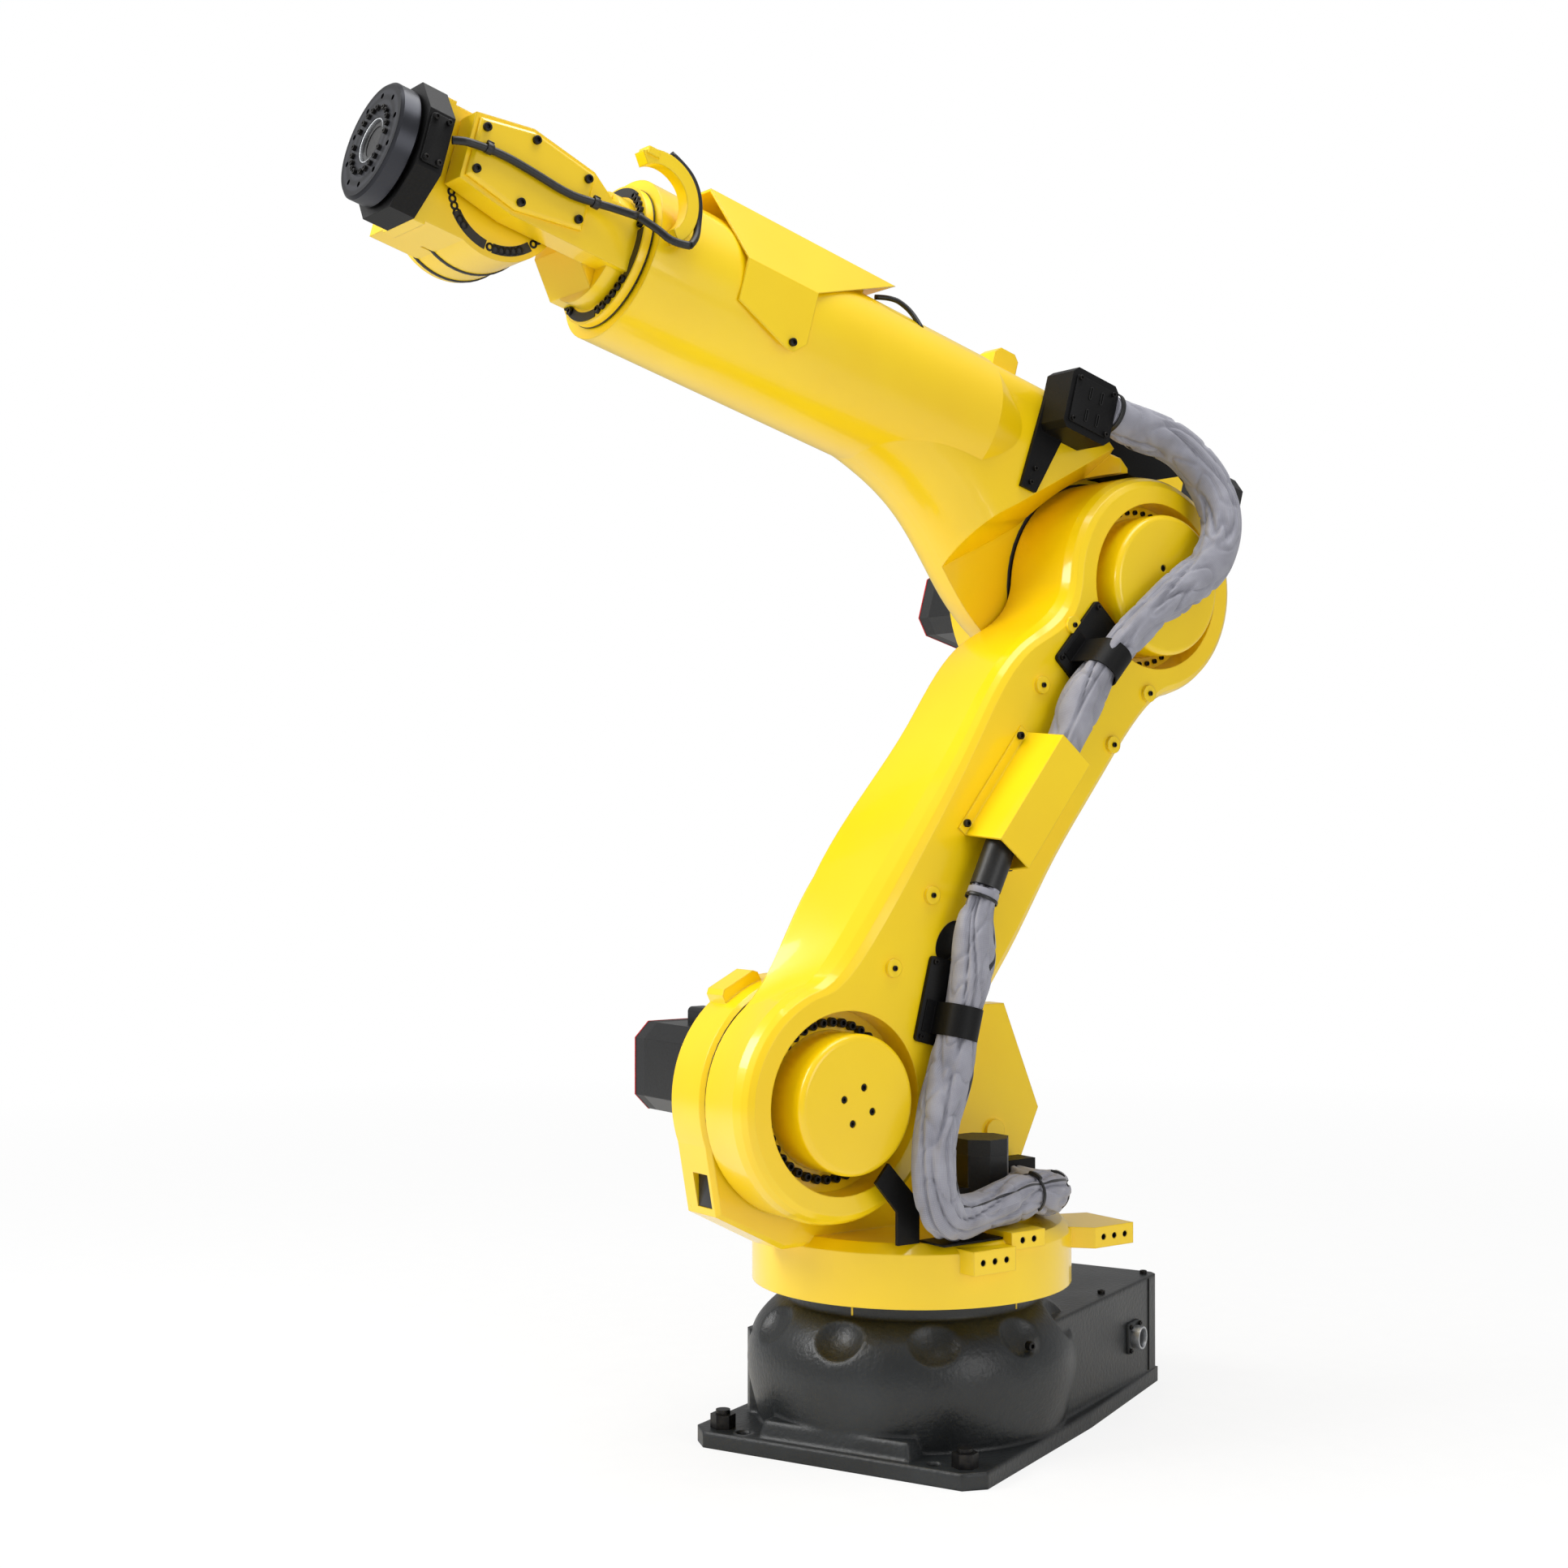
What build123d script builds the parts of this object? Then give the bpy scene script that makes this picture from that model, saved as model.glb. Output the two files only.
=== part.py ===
"""Six-axis industrial robot arm on its floor base, in millimetres, standing in a raised working pose.

The origin is on the floor on the swing axis. X points to the front of the base and Z points up.
"""
import os
from math import pi, radians, tan

from build123d import *

os.makedirs("parts", exist_ok=True)

# Pose that the arm is built in, in degrees
swing_angle = -23.4
lower_arm_lean = 38.8
upper_arm_tilt = 15.6

# Distances between the joint axes
shoulder_offset = 312
lower_arm_length = 1250
elbow_offset = 200
upper_arm_reach = 1252
wrist_length = 255
tool_length = 232

# Clearances and overruns
running_gap = 6
seat_gap = 0.3
overrun = 20

# Base
body_radius = 318
body_height = 258
neck_radius = 250
foot_inset = 21
foot_radius = body_radius - foot_inset
bulge_low_share = 0.29
bulge_share = 0.54
bulge_high_share = 0.83
bulge_top_inset = 20
plate_overhang = 9
plate_inset = 14
plate_thickness = 30
plate_corner = 34
plate_back = 170
plate_front = body_radius + plate_overhang
plate_width = 2 * (body_radius - plate_inset)
box_back = 581
box_inset = 38
box_width = 2 * (body_radius - box_inset)
box_drop = 32
box_height = body_height - box_drop
box_corner = 14
wing_front = 165
wing_drop = 68
wing_height = body_height - wing_drop
ledge_side_inset = 139
ledge_width = plate_width - 2 * ledge_side_inset
ledge_height = 62
ledge_inset = 8
ledge_slope = 14
step_side_inset = 189
step_width = plate_width - 2 * step_side_inset
step_height = 96
step_inset = 30
step_slope = 22
scallop_radius = 92
scallop_circle = 348
scallop_count = 10
scallop_rise = 14
anchor_hole_radius = 14
anchor_inset = 45
anchor_side_inset = 50
anchor_front = plate_front - anchor_inset
anchor_spacing = plate_width - 2 * anchor_side_inset
spare_inset = 31
spare_side_inset = 104
spare_hole_front = plate_front - spare_inset
spare_hole_spacing = plate_width - 2 * spare_side_inset
anchor_head_radius = 24
anchor_head_height = 26
anchor_stud_height = 34
slew_ring_radius = 244
panel_width = 300
panel_height = 150
panel_thickness = 12
fitting_radius = 28
fitting_length = 24
fitting_count = 3

# Turntable
slew_gap = 35
shoulder_rise = 260
disc_bottom = body_height + slew_gap
disc_radius = 309
disc_height = 117
disc_chamfer = 18
disc_top = disc_bottom + disc_height
shoulder_height = disc_top + shoulder_rise
cheek_far = -40
cheek_near = 65
cheek_radius = 222
cheek_edge = 8
cheek_front = 185
cheek_front_drop = 205
cheek_heel = 236
cheek_toe = 40
cheek_foot = disc_top - shoulder_height - disc_chamfer
cheek_lug_turn = 27
cheek_lug_rise = 20
cheek_lug_length = 88
cheek_lug_width = 52
pocket_up = -160
pocket_height = 62
pocket_width = 46
pocket_depth = 34
pocket_side = 26
web_near = 4
web_rise = 140
web_top = 60
web_back = 548
web_heel = 640
web_heel_drop = 75
web_toe = 580
web_toe_drop = 198
web_dip = 56
web_dip_back = 290
web_boss_up = -145
web_boss_back = 520
web_boss_length = 110
web_boss_width = 46
web_boss_rise = 8
web_rib_back = 405
web_rib_rise = 34
web_rib_thickness = 26
web_rib_height = 130
pad_hole_radius = 6
pad_hole_spacing = 28
pad_hole_depth = 24
pad_hole_counts = (3, 2, 3)
side_pad_width = 100
side_pad_height = 44
side_pad_reach = 325
side_pad_forward = 69
side_pad_drop = 8
side_pad_top = disc_top - side_pad_drop
step_pad_width = 82
step_pad_height = 32
step_pad_reach = 314
step_pad_forward = -22
step_pad_rise = 14
step_pad_top = disc_top + step_pad_rise
rear_pad_width = 101
rear_pad_height = 40
rear_pad_reach = 260
rear_pad_forward = -292
rear_pad_drop = 12
rear_pad_top = disc_top - rear_pad_drop
hub_radius = 127
hub_face = 236
hub_edge = 12
cap_hole_radius = 7
cap_hole_circle = 34
cap_hole_count = 4
cap_hole_turn = -22
cap_hole_depth = 18

# Lower arm
arm_near = 200
arm_far_shoulder = 71
arm_far_elbow = 12
arm_end_radius = 222
arm_slope_start = 330
arm_slope_end = 950
arm_edge = 22
arm_far_rear = 152
arm_near_rear = 138
front_along_shares = (0.2, 0.37, 0.56, 0.75)
far_front_shares = (1.2, 1.15, 1.0, 0.9)
near_front_shares = (0.69, 0.74, 0.84, 0.86)
rear_along_shares = (0.36, 0.52, 0.68)
rear_shares = (1.14, 1.0, 0.98)
far_arc_start = 88
near_arc_start = 52
arc_end = 298
elbow_arc = (230, 255)
level_shares = (0, 0.8, 0.9, 0.96, 1)
inset_shares = (0, 0, 0.2, 0.5, 1)
shoulder_recess_radius = 166
elbow_recess_radius = 166
recess_depth = 58
boss_radius = 17
boss_height = 7
boss_along_shares = (0.829, 0.714, 0.852, 0.738, 0.329, 0.202)
boss_across_shares = (0.56, 0.508, -0.514, -0.46, 0.35, 0.3)
window_along_share = 0.298
window_across = -14
window_length = 88
window_width = 62
window_depth = 90

# Upper arm
barrel_radius = 150
barrel_rear = 440
barrel_taper_length = 105
barrel_taper = 19
elbow_drum_radius = 235
elbow_drum_far = -190
elbow_drum_near = 5
elbow_drum_edge = 24
drum_slope = 45
neck_far = -122
neck_near = 122
neck_top_drop = 24
neck_top_edge = 60
neck_low_edge = 112
neck_back = 70
flare_forward_shares = (0.607, 0.487, 0.391, 0.316, 0.249, 0.16)
flare_up_shares = (0.41, 0.267, -0.033, -0.48, -0.913, -1.27)
flare_end_up = -215
flare_end_forward = 95
fold_cut_slope = 30
fold_cut_up_shares = (0.64, 0.06, -0.22, -0.51, -1.4, -1.4)
fold_cut_forward_shares = (0.58, 1.21, 1.54, 1.86, 1.86, 0)
elbow_hub_radius = 140
elbow_hub_face = 233
elbow_clear_radius = 236
elbow_cap_hole_up = 27
elbow_cap_hole_forward = 23
gear_case_back = 270
gear_case_top = 345
gear_case_bottom = 185
gear_case_near = -72
gear_case_far = -330
gear_case_edge = 24
motor_plate_top = 455
motor_plate_thickness = 40
arm_lug_width = 50
arm_lug_length = 62
arm_lug_height = 40
arm_lug_back = 82
ring_radius = 130
ring_length = 18
ring_gap = 2
sheet = 4
top_cover_front_gap = 126
top_cover_length = 442
cover_ridge_half = 60
cover_ridge_rise = 182
cover_fold_rise = 51
flap_front_gap = 181
flap_length = 160
flap_front_drop = 29
flap_low_drop = 72
flap_tip_back = 118
flap_tip_length = 20
flap_back_drop = 49
cover_foot = 50
hook_band = 24
hook_width = 28
hook_up_shares = (0.1, 0.42, 0.8, 1, 0.9)
hook_forward_shares = (-0.2, -0.46, -0.26, 0.36, 1)
hook_rise = 130
hook_reach = 78
clamp_up = 282
clamp_forward = 262
clamp_height = 125
clamp_length = 125
clamp_width = 76
clamp_leg_low = 98
clamp_leg_forward = 318
clamp_leg_width = 40
clamp_leg_thickness = 8
guide_lift = 66
guide_front = 60
guide_back = 130
guide_thickness = 22
guide_far = -60
guide_near = 100

# Hose and its holders
bend_share = 0.45
hose_radius = 38
hose_level = 246
upper_hose_level = 264
strap_gap = 6
strap_length = 44
strap_wall = 8
saddle_length = 136
saddle_width = 132
saddle_shift = 26
saddle_clearance = 12
lower_saddle_along = 277
lower_saddle_across = -81
lower_saddle_turn = 24
upper_saddle_across = 50
upper_saddle_turn = -4
hose_cover_share = 0.538
hose_cover_across = 30
hose_cover_length = 249
hose_cover_width = 150
hose_channel_width = 112
hose_under_cover = 37
cuff_radius = 30
cuff_length = 30
cuff_run = 70
cable_radius = 7
cable_lift = 1
tray_forward = 92
tray_side = 258
tray_length = 140
tray_width = 70
strip_side = 225
strip_forward = -92
strip_width = 50
strip_rise = 150
strip_thickness = 8
strip_up_shares = (0, 0.4, 0.78, 1, 0.5, 0)
strip_forward_shares = (0, 0, 1, 0.4, -1, -1)
inlet_forward = -216
inlet_side = 66
inlet_length = 50
swing_motor_forward = -65
swing_motor_side = 132
swing_motor_length = 132

# Drive motors
motor_width = 172
shoulder_motor_width = 194
shoulder_motor_rise = 22
shoulder_motor_length = 300
elbow_motor_length = 225
motor_flange = 24
motor_step = 11
motor_edge = 30
motor_cap = 30
plug_size = 46
plug_edge = 10
wrist_motor_width = 124
wrist_motor_length = 165
wrist_motor_high = 388
wrist_motor_low = 255

# Wrist
wrist_neck_radius = 104
wrist_neck_front = 200
wrist_nose_half = 88
wrist_nose_tip = 150
wrist_nose_tip_half = 28
wrist_nose_far = -88
wrist_cheek_near = 104
wrist_cheek_far = 50
wrist_cheek_back_half = 54
wrist_cheek_waist = 174
bend_radius = 116
bend_gap_near = -62
bend_gap_far = -123
bend_far = -150
bend_groove = 5
bend_edge = 8
bend_block_half = 106
bend_flange_half = 112
bend_flange_thickness = 22
bend_flange_far = -112
bend_flange_corner = 46
bend_shaft_radius = 45
bend_shaft_length = 50
roll_shaft_radius = 88
roll_shaft_length = 60
cover_thickness = 10
cover_half_up = 84
cover_half_forward = 128
cover_rise = 20
cover_drop = 34
cover_margin = 8
tool_case_back = 143
tool_case_half = 112
tool_case_corner = 62
tool_disc_radius = 103
tool_disc_height = 40
tool_disc_edge = 5
tool_shaft_radius = 62
tool_shaft_length = 24
tool_bore_radius = 40
tool_bore_depth = 10
tool_bolt_radius = 5
tool_bolt_circle = 80
tool_bolt_count = 10
tool_bolt_depth = 22

# Hose routes: hand-placed points in the frame of a link, or shares of a run between two holders
tail_route = (
    (54.5, 268, 51),
    (0, 260, 58.5),
    (-70, 256, 70),
    (-140, 238, 62),
    (-195, 190, 50),
    (-216, 128, 44),
    (-216, 66.5, 44),
)
shoulder_start = ((55, 268, 51.1), (110, 276, 43.4), (163, 290, 52))
shoulder_route = (
    (-39.3, -198.4, 290),
    (21.5, -162.4, 276),
    (90.9, -145, 258),
    (152, -133, 250),
    (213.5, -109, 246),
    (276.5, -81, 246),
)
low_along_shares = (0, 0.323, 0.572, 0.761, 1)
low_across_shares = (0, 0.261, 0.55, 0.757, 0.856)
high_along_shares = (0, 0.204, 0.415, 0.631, 0.805, 1)
high_across_shares = (0, 0, 0.4, 0.95, 1.17, 1)
high_level_shares = (0, 0, 0, 0.167, 0.572, 1)
elbow_start = ((0, 0, 0), (59.3, -3.8, 8.7))
elbow_route = (
    (-60, 52, 281),
    (14, -20, 285),
    (85, -64, 284),
    (165, -74, 268),
    (238, -40, 240),
    (292, 28, 210),
)
clamp_end_rise = 18
clamp_end_level = 172
clamp_end_run = 81
wrist_up_points = (20, 28, 24, 17, 24, 28, 26)
wrist_forward_points = (112, 55, -12, -80, -130, -168, -205)
wrist_level_points = (0, 0, 0, 0, 1, 10, 28)
roll_route = ((26, -207, 150.6), (14, -237, 168), (-4, -265, 183), (3, -295, 189))
tool_cable_route = ((20, 115.8, 121.8), (18, 127, 117), (16, 138.2, 108))


def moved(frame, x=0, y=0, z=0):
    """The same frame with its origin at a point given in the frame's own axes."""
    return Plane(frame.from_local_coords((x, y, z)), x_dir=frame.x_dir, z_dir=frame.z_dir)


def looking(frame, x=0, y=0, z=0):
    """A plane across the frame's own Y axis: its normal is that axis and its X stays."""
    return Plane(frame.from_local_coords((x, y, z)), x_dir=frame.x_dir, z_dir=frame.y_dir)


def away(frame, x=0, y=0, z=0):
    """A plane at a point of a frame that faces against the frame's normal."""
    return Plane(frame.from_local_coords((x, y, z)), x_dir=frame.x_dir, z_dir=-frame.z_dir)


def turned(frame, angle):
    """The same frame turned about its own normal, from its X towards its Y."""
    x_dir = frame.x_dir.rotate(Axis((0, 0, 0), frame.z_dir), angle)
    return Plane(frame.origin, x_dir=x_dir, z_dir=frame.z_dir)


def save(block, name):
    """Label a finished piece and write it under its own name."""
    block.part.label = name
    export_step(block.part, f"parts/{name}.step")


# Frames of the links: turntable axes are forward, near side, up.
# Arm frames have X along or up the link, Y forward and Z to the near side.
floor_frame = Plane.XY
turntable_frame = turned(floor_frame, swing_angle)
shoulder_frame = Plane(
    turntable_frame.from_local_coords((shoulder_offset, 0, shoulder_height)),
    x_dir=turntable_frame.z_dir,
    z_dir=turntable_frame.y_dir,
)
lower_frame = turned(shoulder_frame, -lower_arm_lean)
elbow_frame = turned(moved(lower_frame, lower_arm_length), lower_arm_lean - upper_arm_tilt)
roll_frame = looking(elbow_frame, elbow_offset, upper_arm_reach)
bend_frame = moved(elbow_frame, elbow_offset, upper_arm_reach + wrist_length)
tool_frame = looking(bend_frame, 0, tool_length)
near_axis = Axis(shoulder_frame.origin, shoulder_frame.z_dir)
forward_axis = Axis(elbow_frame.origin, elbow_frame.y_dir)

# Base casting: bulging scalloped body on a flat foot, with a box behind it and the slewing neck on top
with BuildPart() as base_casting:
    with BuildSketch(Plane.XZ):
        with BuildLine():
            Polyline((0, 0), (foot_radius, 0), (foot_radius, plate_thickness))
            Spline(
                (foot_radius, plate_thickness),
                ((foot_radius + body_radius) / 2, bulge_low_share * body_height),
                (body_radius, bulge_share * body_height),
                (body_radius - bulge_top_inset, bulge_high_share * body_height),
                (neck_radius, body_height),
            )
            Polyline((neck_radius, body_height), (0, body_height), (0, 0))
        make_face()
    revolve(axis=Axis.Z)
    with Locations((0, 0, body_height + scallop_rise)):
        with PolarLocations(scallop_circle, scallop_count):
            Sphere(scallop_radius, mode=Mode.SUBTRACT)
    with BuildSketch(floor_frame):
        with BuildLine():
            Polyline(
                (plate_front, -plate_width / 2),
                (plate_front, plate_width / 2),
                (-plate_back, plate_width / 2),
                (-box_back, box_width / 2),
                (-box_back, -box_width / 2),
                (-plate_back, -plate_width / 2),
                close=True,
            )
        make_face()
        chamfer(vertices().group_by(Axis.X)[-1], plate_corner)
    extrude(amount=plate_thickness)
    with BuildSketch(floor_frame):
        with Locations((-box_back / 2, 0)):
            Rectangle(box_back, box_width)
        chamfer(vertices().group_by(Axis.X)[0], box_corner)
    extrude(amount=box_height)
    with BuildSketch(floor_frame):
        with Locations((0, -box_width / 2 + body_radius / 4)):
            Rectangle(wing_front * 2, body_radius / 2)
        chamfer(vertices().group_by(Axis.X)[-1], box_corner)
    extrude(amount=wing_height)
    with BuildSketch(floor_frame):
        with Locations((plate_front - ledge_inset - plate_back / 2, 0)):
            Rectangle(plate_back, ledge_width)
    extrude(amount=ledge_height, taper=ledge_slope)
    with BuildSketch(floor_frame):
        with Locations((plate_front - step_inset - plate_back / 2, 0)):
            Rectangle(plate_back, step_width)
    extrude(amount=step_height, taper=step_slope)
    with BuildSketch(floor_frame.offset(body_height)):
        Circle(slew_ring_radius)
    extrude(amount=disc_bottom - body_height - seat_gap)
    for forward, spacing in ((anchor_front, anchor_spacing), (spare_hole_front, spare_hole_spacing)):
        with Locations((forward, 0, plate_thickness)):
            with GridLocations(0, spacing, 1, 2):
                Hole(anchor_hole_radius)
save(base_casting, "base_casting")

# Connector panel on the back of the base box, with round fittings
with BuildPart() as connector_panel:
    with BuildSketch(Plane.YZ.offset(-box_back)):
        with Locations((0, box_height / 2)):
            RectangleRounded(panel_width, panel_height, box_corner)
    extrude(amount=-panel_thickness)
    with BuildSketch(Plane.YZ.offset(-box_back - panel_thickness)):
        with Locations((0, box_height / 2)):
            with GridLocations(panel_width / fitting_count, 0, fitting_count, 1):
                Circle(fitting_radius)
    extrude(amount=-fitting_length)
save(connector_panel, "connector_panel")

# Anchor studs with nuts in the front foot
with BuildPart() as anchor_studs:
    with BuildSketch(floor_frame):
        with Locations((anchor_front, 0)):
            with GridLocations(0, anchor_spacing, 1, 2):
                Circle(anchor_hole_radius - seat_gap)
    extrude(amount=plate_thickness + anchor_stud_height)
    with BuildSketch(floor_frame.offset(plate_thickness)):
        with Locations((anchor_front, 0)):
            with GridLocations(0, anchor_spacing, 1, 2):
                RegularPolygon(anchor_head_radius, 6)
    extrude(amount=anchor_head_height)
save(anchor_studs, "anchor_studs")

# Turntable casting: shoulder cheek with its front pocket and lug, rear web, disc and drilled pads
pad_bores = (
    (side_pad_forward, side_pad_reach, side_pad_top - side_pad_height / 2),
    (step_pad_forward, step_pad_reach, step_pad_top - step_pad_height / 2),
    (rear_pad_forward, rear_pad_reach, rear_pad_top - rear_pad_height / 2),
)
with BuildPart() as turntable_casting:
    with BuildSketch(moved(shoulder_frame, z=cheek_far)):
        Circle(cheek_radius)
        with BuildLine():
            Polyline(
                (0, cheek_radius),
                (-cheek_front_drop, cheek_front),
                (cheek_foot, cheek_toe),
                (cheek_foot, -cheek_heel),
                (0, -cheek_radius),
                close=True,
            )
        make_face()
    extrude(amount=cheek_near - cheek_far)
    chamfer(faces().sort_by(near_axis)[0].edges() + faces().sort_by(near_axis)[-1].edges(), cheek_edge)
    with BuildSketch(moved(turned(shoulder_frame, cheek_lug_turn), z=cheek_far + cheek_edge)):
        with Locations((cheek_radius, 0)):
            Rectangle(cheek_lug_rise * 2, cheek_lug_length)
        chamfer(vertices(), cheek_edge)
    extrude(amount=cheek_lug_width)
    with BuildSketch(looking(shoulder_frame, pocket_up, cheek_radius, pocket_side)):
        Rectangle(pocket_height, pocket_width)
    extrude(amount=cheek_front - cheek_radius - pocket_depth, mode=Mode.SUBTRACT)
    with BuildSketch(moved(shoulder_frame, z=cheek_far)):
        with BuildLine():
            Polyline(
                (0, -cheek_radius / 2),
                (web_dip, -web_dip_back),
                (web_rise, -web_back + web_top),
                (web_rise, -web_back),
                (-web_heel_drop, -web_heel),
                (-web_toe_drop, -web_toe),
                (cheek_foot, -web_toe),
                (cheek_foot, -cheek_radius / 2),
                close=True,
            )
        make_face()
    extrude(amount=web_near - cheek_far)
    with BuildSketch(moved(shoulder_frame, z=web_near)):
        with Locations((web_boss_up, -web_boss_back)):
            SlotOverall(web_boss_length, web_boss_width)
    extrude(amount=web_boss_rise)
    with BuildSketch(moved(shoulder_frame, z=web_near)):
        with Locations((disc_top - shoulder_height + web_rib_height / 2, -web_rib_back)):
            Rectangle(web_rib_height, web_rib_thickness)
    extrude(amount=web_rib_rise)
    with BuildSketch(Plane.XZ):
        with BuildLine():
            Polyline(
                (0, disc_bottom),
                (disc_radius, disc_bottom),
                (disc_radius, disc_top - disc_chamfer),
                (disc_radius - disc_chamfer, disc_top),
                (0, disc_top),
                close=True,
            )
        make_face()
    revolve(axis=Axis.Z)
    with BuildSketch(turntable_frame.offset(side_pad_top - side_pad_height)):
        with Locations((side_pad_forward, side_pad_reach / 2)):
            Rectangle(side_pad_width, side_pad_reach)
    extrude(amount=side_pad_height)
    with BuildSketch(turntable_frame.offset(step_pad_top - step_pad_height)):
        with Locations((step_pad_forward, step_pad_reach - step_pad_width / 2)):
            Rectangle(step_pad_width, step_pad_width)
    extrude(amount=step_pad_height)
    with BuildSketch(turntable_frame.offset(rear_pad_top - rear_pad_height)):
        with BuildLine():
            Polyline(
                (0, 0),
                (rear_pad_forward + rear_pad_width / 2, rear_pad_reach),
                (rear_pad_forward - rear_pad_width / 2, rear_pad_reach),
                (rear_pad_forward - rear_pad_width / 2, rear_pad_reach / 2),
                close=True,
            )
        make_face()
    extrude(amount=rear_pad_height)
    for (forward, reach, level), holes in zip(pad_bores, pad_hole_counts):
        with Locations(looking(turntable_frame, forward, reach, level)):
            with GridLocations(pad_hole_spacing, 0, holes, 1):
                Hole(pad_hole_radius, pad_hole_depth)
save(turntable_casting, "turntable_casting")

# Shoulder hub: the trunnion that the lower arm turns on, with its drilled cap
with BuildPart() as shoulder_hub:
    with BuildSketch(moved(shoulder_frame, z=cheek_near)):
        Circle(hub_radius)
    extrude(amount=hub_face - cheek_near)
    fillet(faces().sort_by(near_axis)[-1].edges(), hub_edge)
    with Locations(turned(moved(shoulder_frame, z=hub_face), cap_hole_turn)):
        with PolarLocations(cap_hole_circle, cap_hole_count):
            Hole(cap_hole_radius, cap_hole_depth)
save(shoulder_hub, "shoulder_hub")


def servo_motor(name, frame, width, length):
    """A square drive motor standing on a frame's plane, with a cap and a plug box at its end."""
    with BuildPart() as motor:
        with BuildSketch(frame):
            Rectangle(width, width)
            chamfer(vertices(), motor_edge)
        extrude(amount=motor_flange)
        with BuildSketch(frame.offset(motor_flange)):
            Rectangle(width - motor_step * 2, width - motor_step * 2)
            chamfer(vertices(), motor_edge)
        extrude(amount=length - motor_flange)
        with BuildSketch(frame.offset(length - motor_cap * 2 - plug_size)):
            with Locations((width / 2, 0)):
                RectangleRounded(plug_size, plug_size, plug_edge)
        extrude(amount=plug_size)
    save(motor, name)
    with BuildPart() as cap:
        with BuildSketch(frame.offset(length)):
            Rectangle(width - motor_step * 2, width - motor_step * 2)
            chamfer(vertices(), motor_edge)
        extrude(amount=motor_cap)
    save(cap, f"{name}_cap")


servo_motor(
    "shoulder_motor",
    away(shoulder_frame, shoulder_motor_rise, 0, cheek_far),
    shoulder_motor_width,
    shoulder_motor_length,
)


def arm_outline(share, inset):
    """Outline of the lower arm at a share of the way to its near face: two round ends and flowing edges."""
    radius = arm_end_radius - inset
    arc_start = far_arc_start + (near_arc_start - far_arc_start) * share
    rear = arm_far_rear + (arm_near_rear - arm_far_rear) * share - inset
    fronts = [
        (far + (near - far) * share) * arm_end_radius - inset
        for far, near in zip(far_front_shares, near_front_shares)
    ]
    with BuildLine() as outline:
        shoulder_end = CenterArc((0, 0), radius, arc_start, arc_end - arc_start)
        elbow_end = CenterArc((lower_arm_length, 0), radius, *elbow_arc)
        Spline(
            shoulder_end @ 0,
            *[(along * lower_arm_length, front) for along, front in zip(front_along_shares, fronts)],
            elbow_end @ 1,
            tangents=(shoulder_end % 0 * -1, elbow_end % 1 * -1),
        )
        Spline(
            shoulder_end @ 1,
            *[(along * lower_arm_length, -side * rear) for along, side in zip(rear_along_shares, rear_shares)],
            elbow_end @ 0,
            tangents=(shoulder_end % 1, elbow_end % 0),
        )
    return outline.line


# Lower arm: a waisted casting between two bored ends, whose far face slopes towards the elbow
with BuildPart() as lower_arm_casting:
    for level_share, inset_share in zip(level_shares, inset_shares):
        section = arm_outline(level_share, inset_share * arm_edge)
        with BuildSketch(moved(lower_frame, z=arm_far_elbow + (arm_near - arm_far_elbow) * level_share)):
            add(section)
            make_face()
    loft(ruled=True)
    with BuildSketch(looking(lower_frame, 0, -arm_end_radius * 2)):
        with BuildLine():
            Polyline(
                (-arm_end_radius * 2, -arm_far_shoulder),
                (arm_slope_start, -arm_far_shoulder),
                (arm_slope_end, -arm_far_elbow),
                (arm_slope_end, overrun),
                (-arm_end_radius * 2, overrun),
                close=True,
            )
        make_face()
    extrude(amount=arm_end_radius * 4, mode=Mode.SUBTRACT)
    for place, bore, recess in (
        (0, hub_radius, shoulder_recess_radius),
        (lower_arm_length, elbow_hub_radius, elbow_recess_radius),
    ):
        with BuildSketch(moved(lower_frame, place, 0, arm_near)):
            Circle(recess)
        extrude(amount=-recess_depth, mode=Mode.SUBTRACT)
        with BuildSketch(moved(lower_frame, place, 0, arm_near)):
            Circle(bore + seat_gap)
        extrude(amount=-arm_near, mode=Mode.SUBTRACT)
    with BuildSketch(moved(lower_frame, z=arm_near)):
        with Locations(*[
            (along * lower_arm_length, across * arm_end_radius)
            for along, across in zip(boss_along_shares, boss_across_shares)
        ]):
            Circle(boss_radius)
    extrude(amount=boss_height)
    with BuildSketch(moved(lower_frame, window_along_share * lower_arm_length, window_across, arm_near)):
        Ellipse(window_length / 2, window_width / 2)
    extrude(amount=-window_depth, mode=Mode.SUBTRACT)
save(lower_arm_casting, "lower_arm_casting")

# Elbow hub: the trunnion on the upper arm that carries it in the lower arm
with BuildPart() as elbow_hub:
    with BuildSketch(moved(elbow_frame, z=elbow_drum_near)):
        Circle(elbow_hub_radius)
    extrude(amount=elbow_hub_face - elbow_drum_near)
    fillet(faces().sort_by(near_axis)[-1].edges(), hub_edge)
    with Locations(moved(elbow_frame, elbow_cap_hole_up, elbow_cap_hole_forward, elbow_hub_face)):
        Hole(cap_hole_radius, cap_hole_depth)
save(elbow_hub, "elbow_hub")

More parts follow.
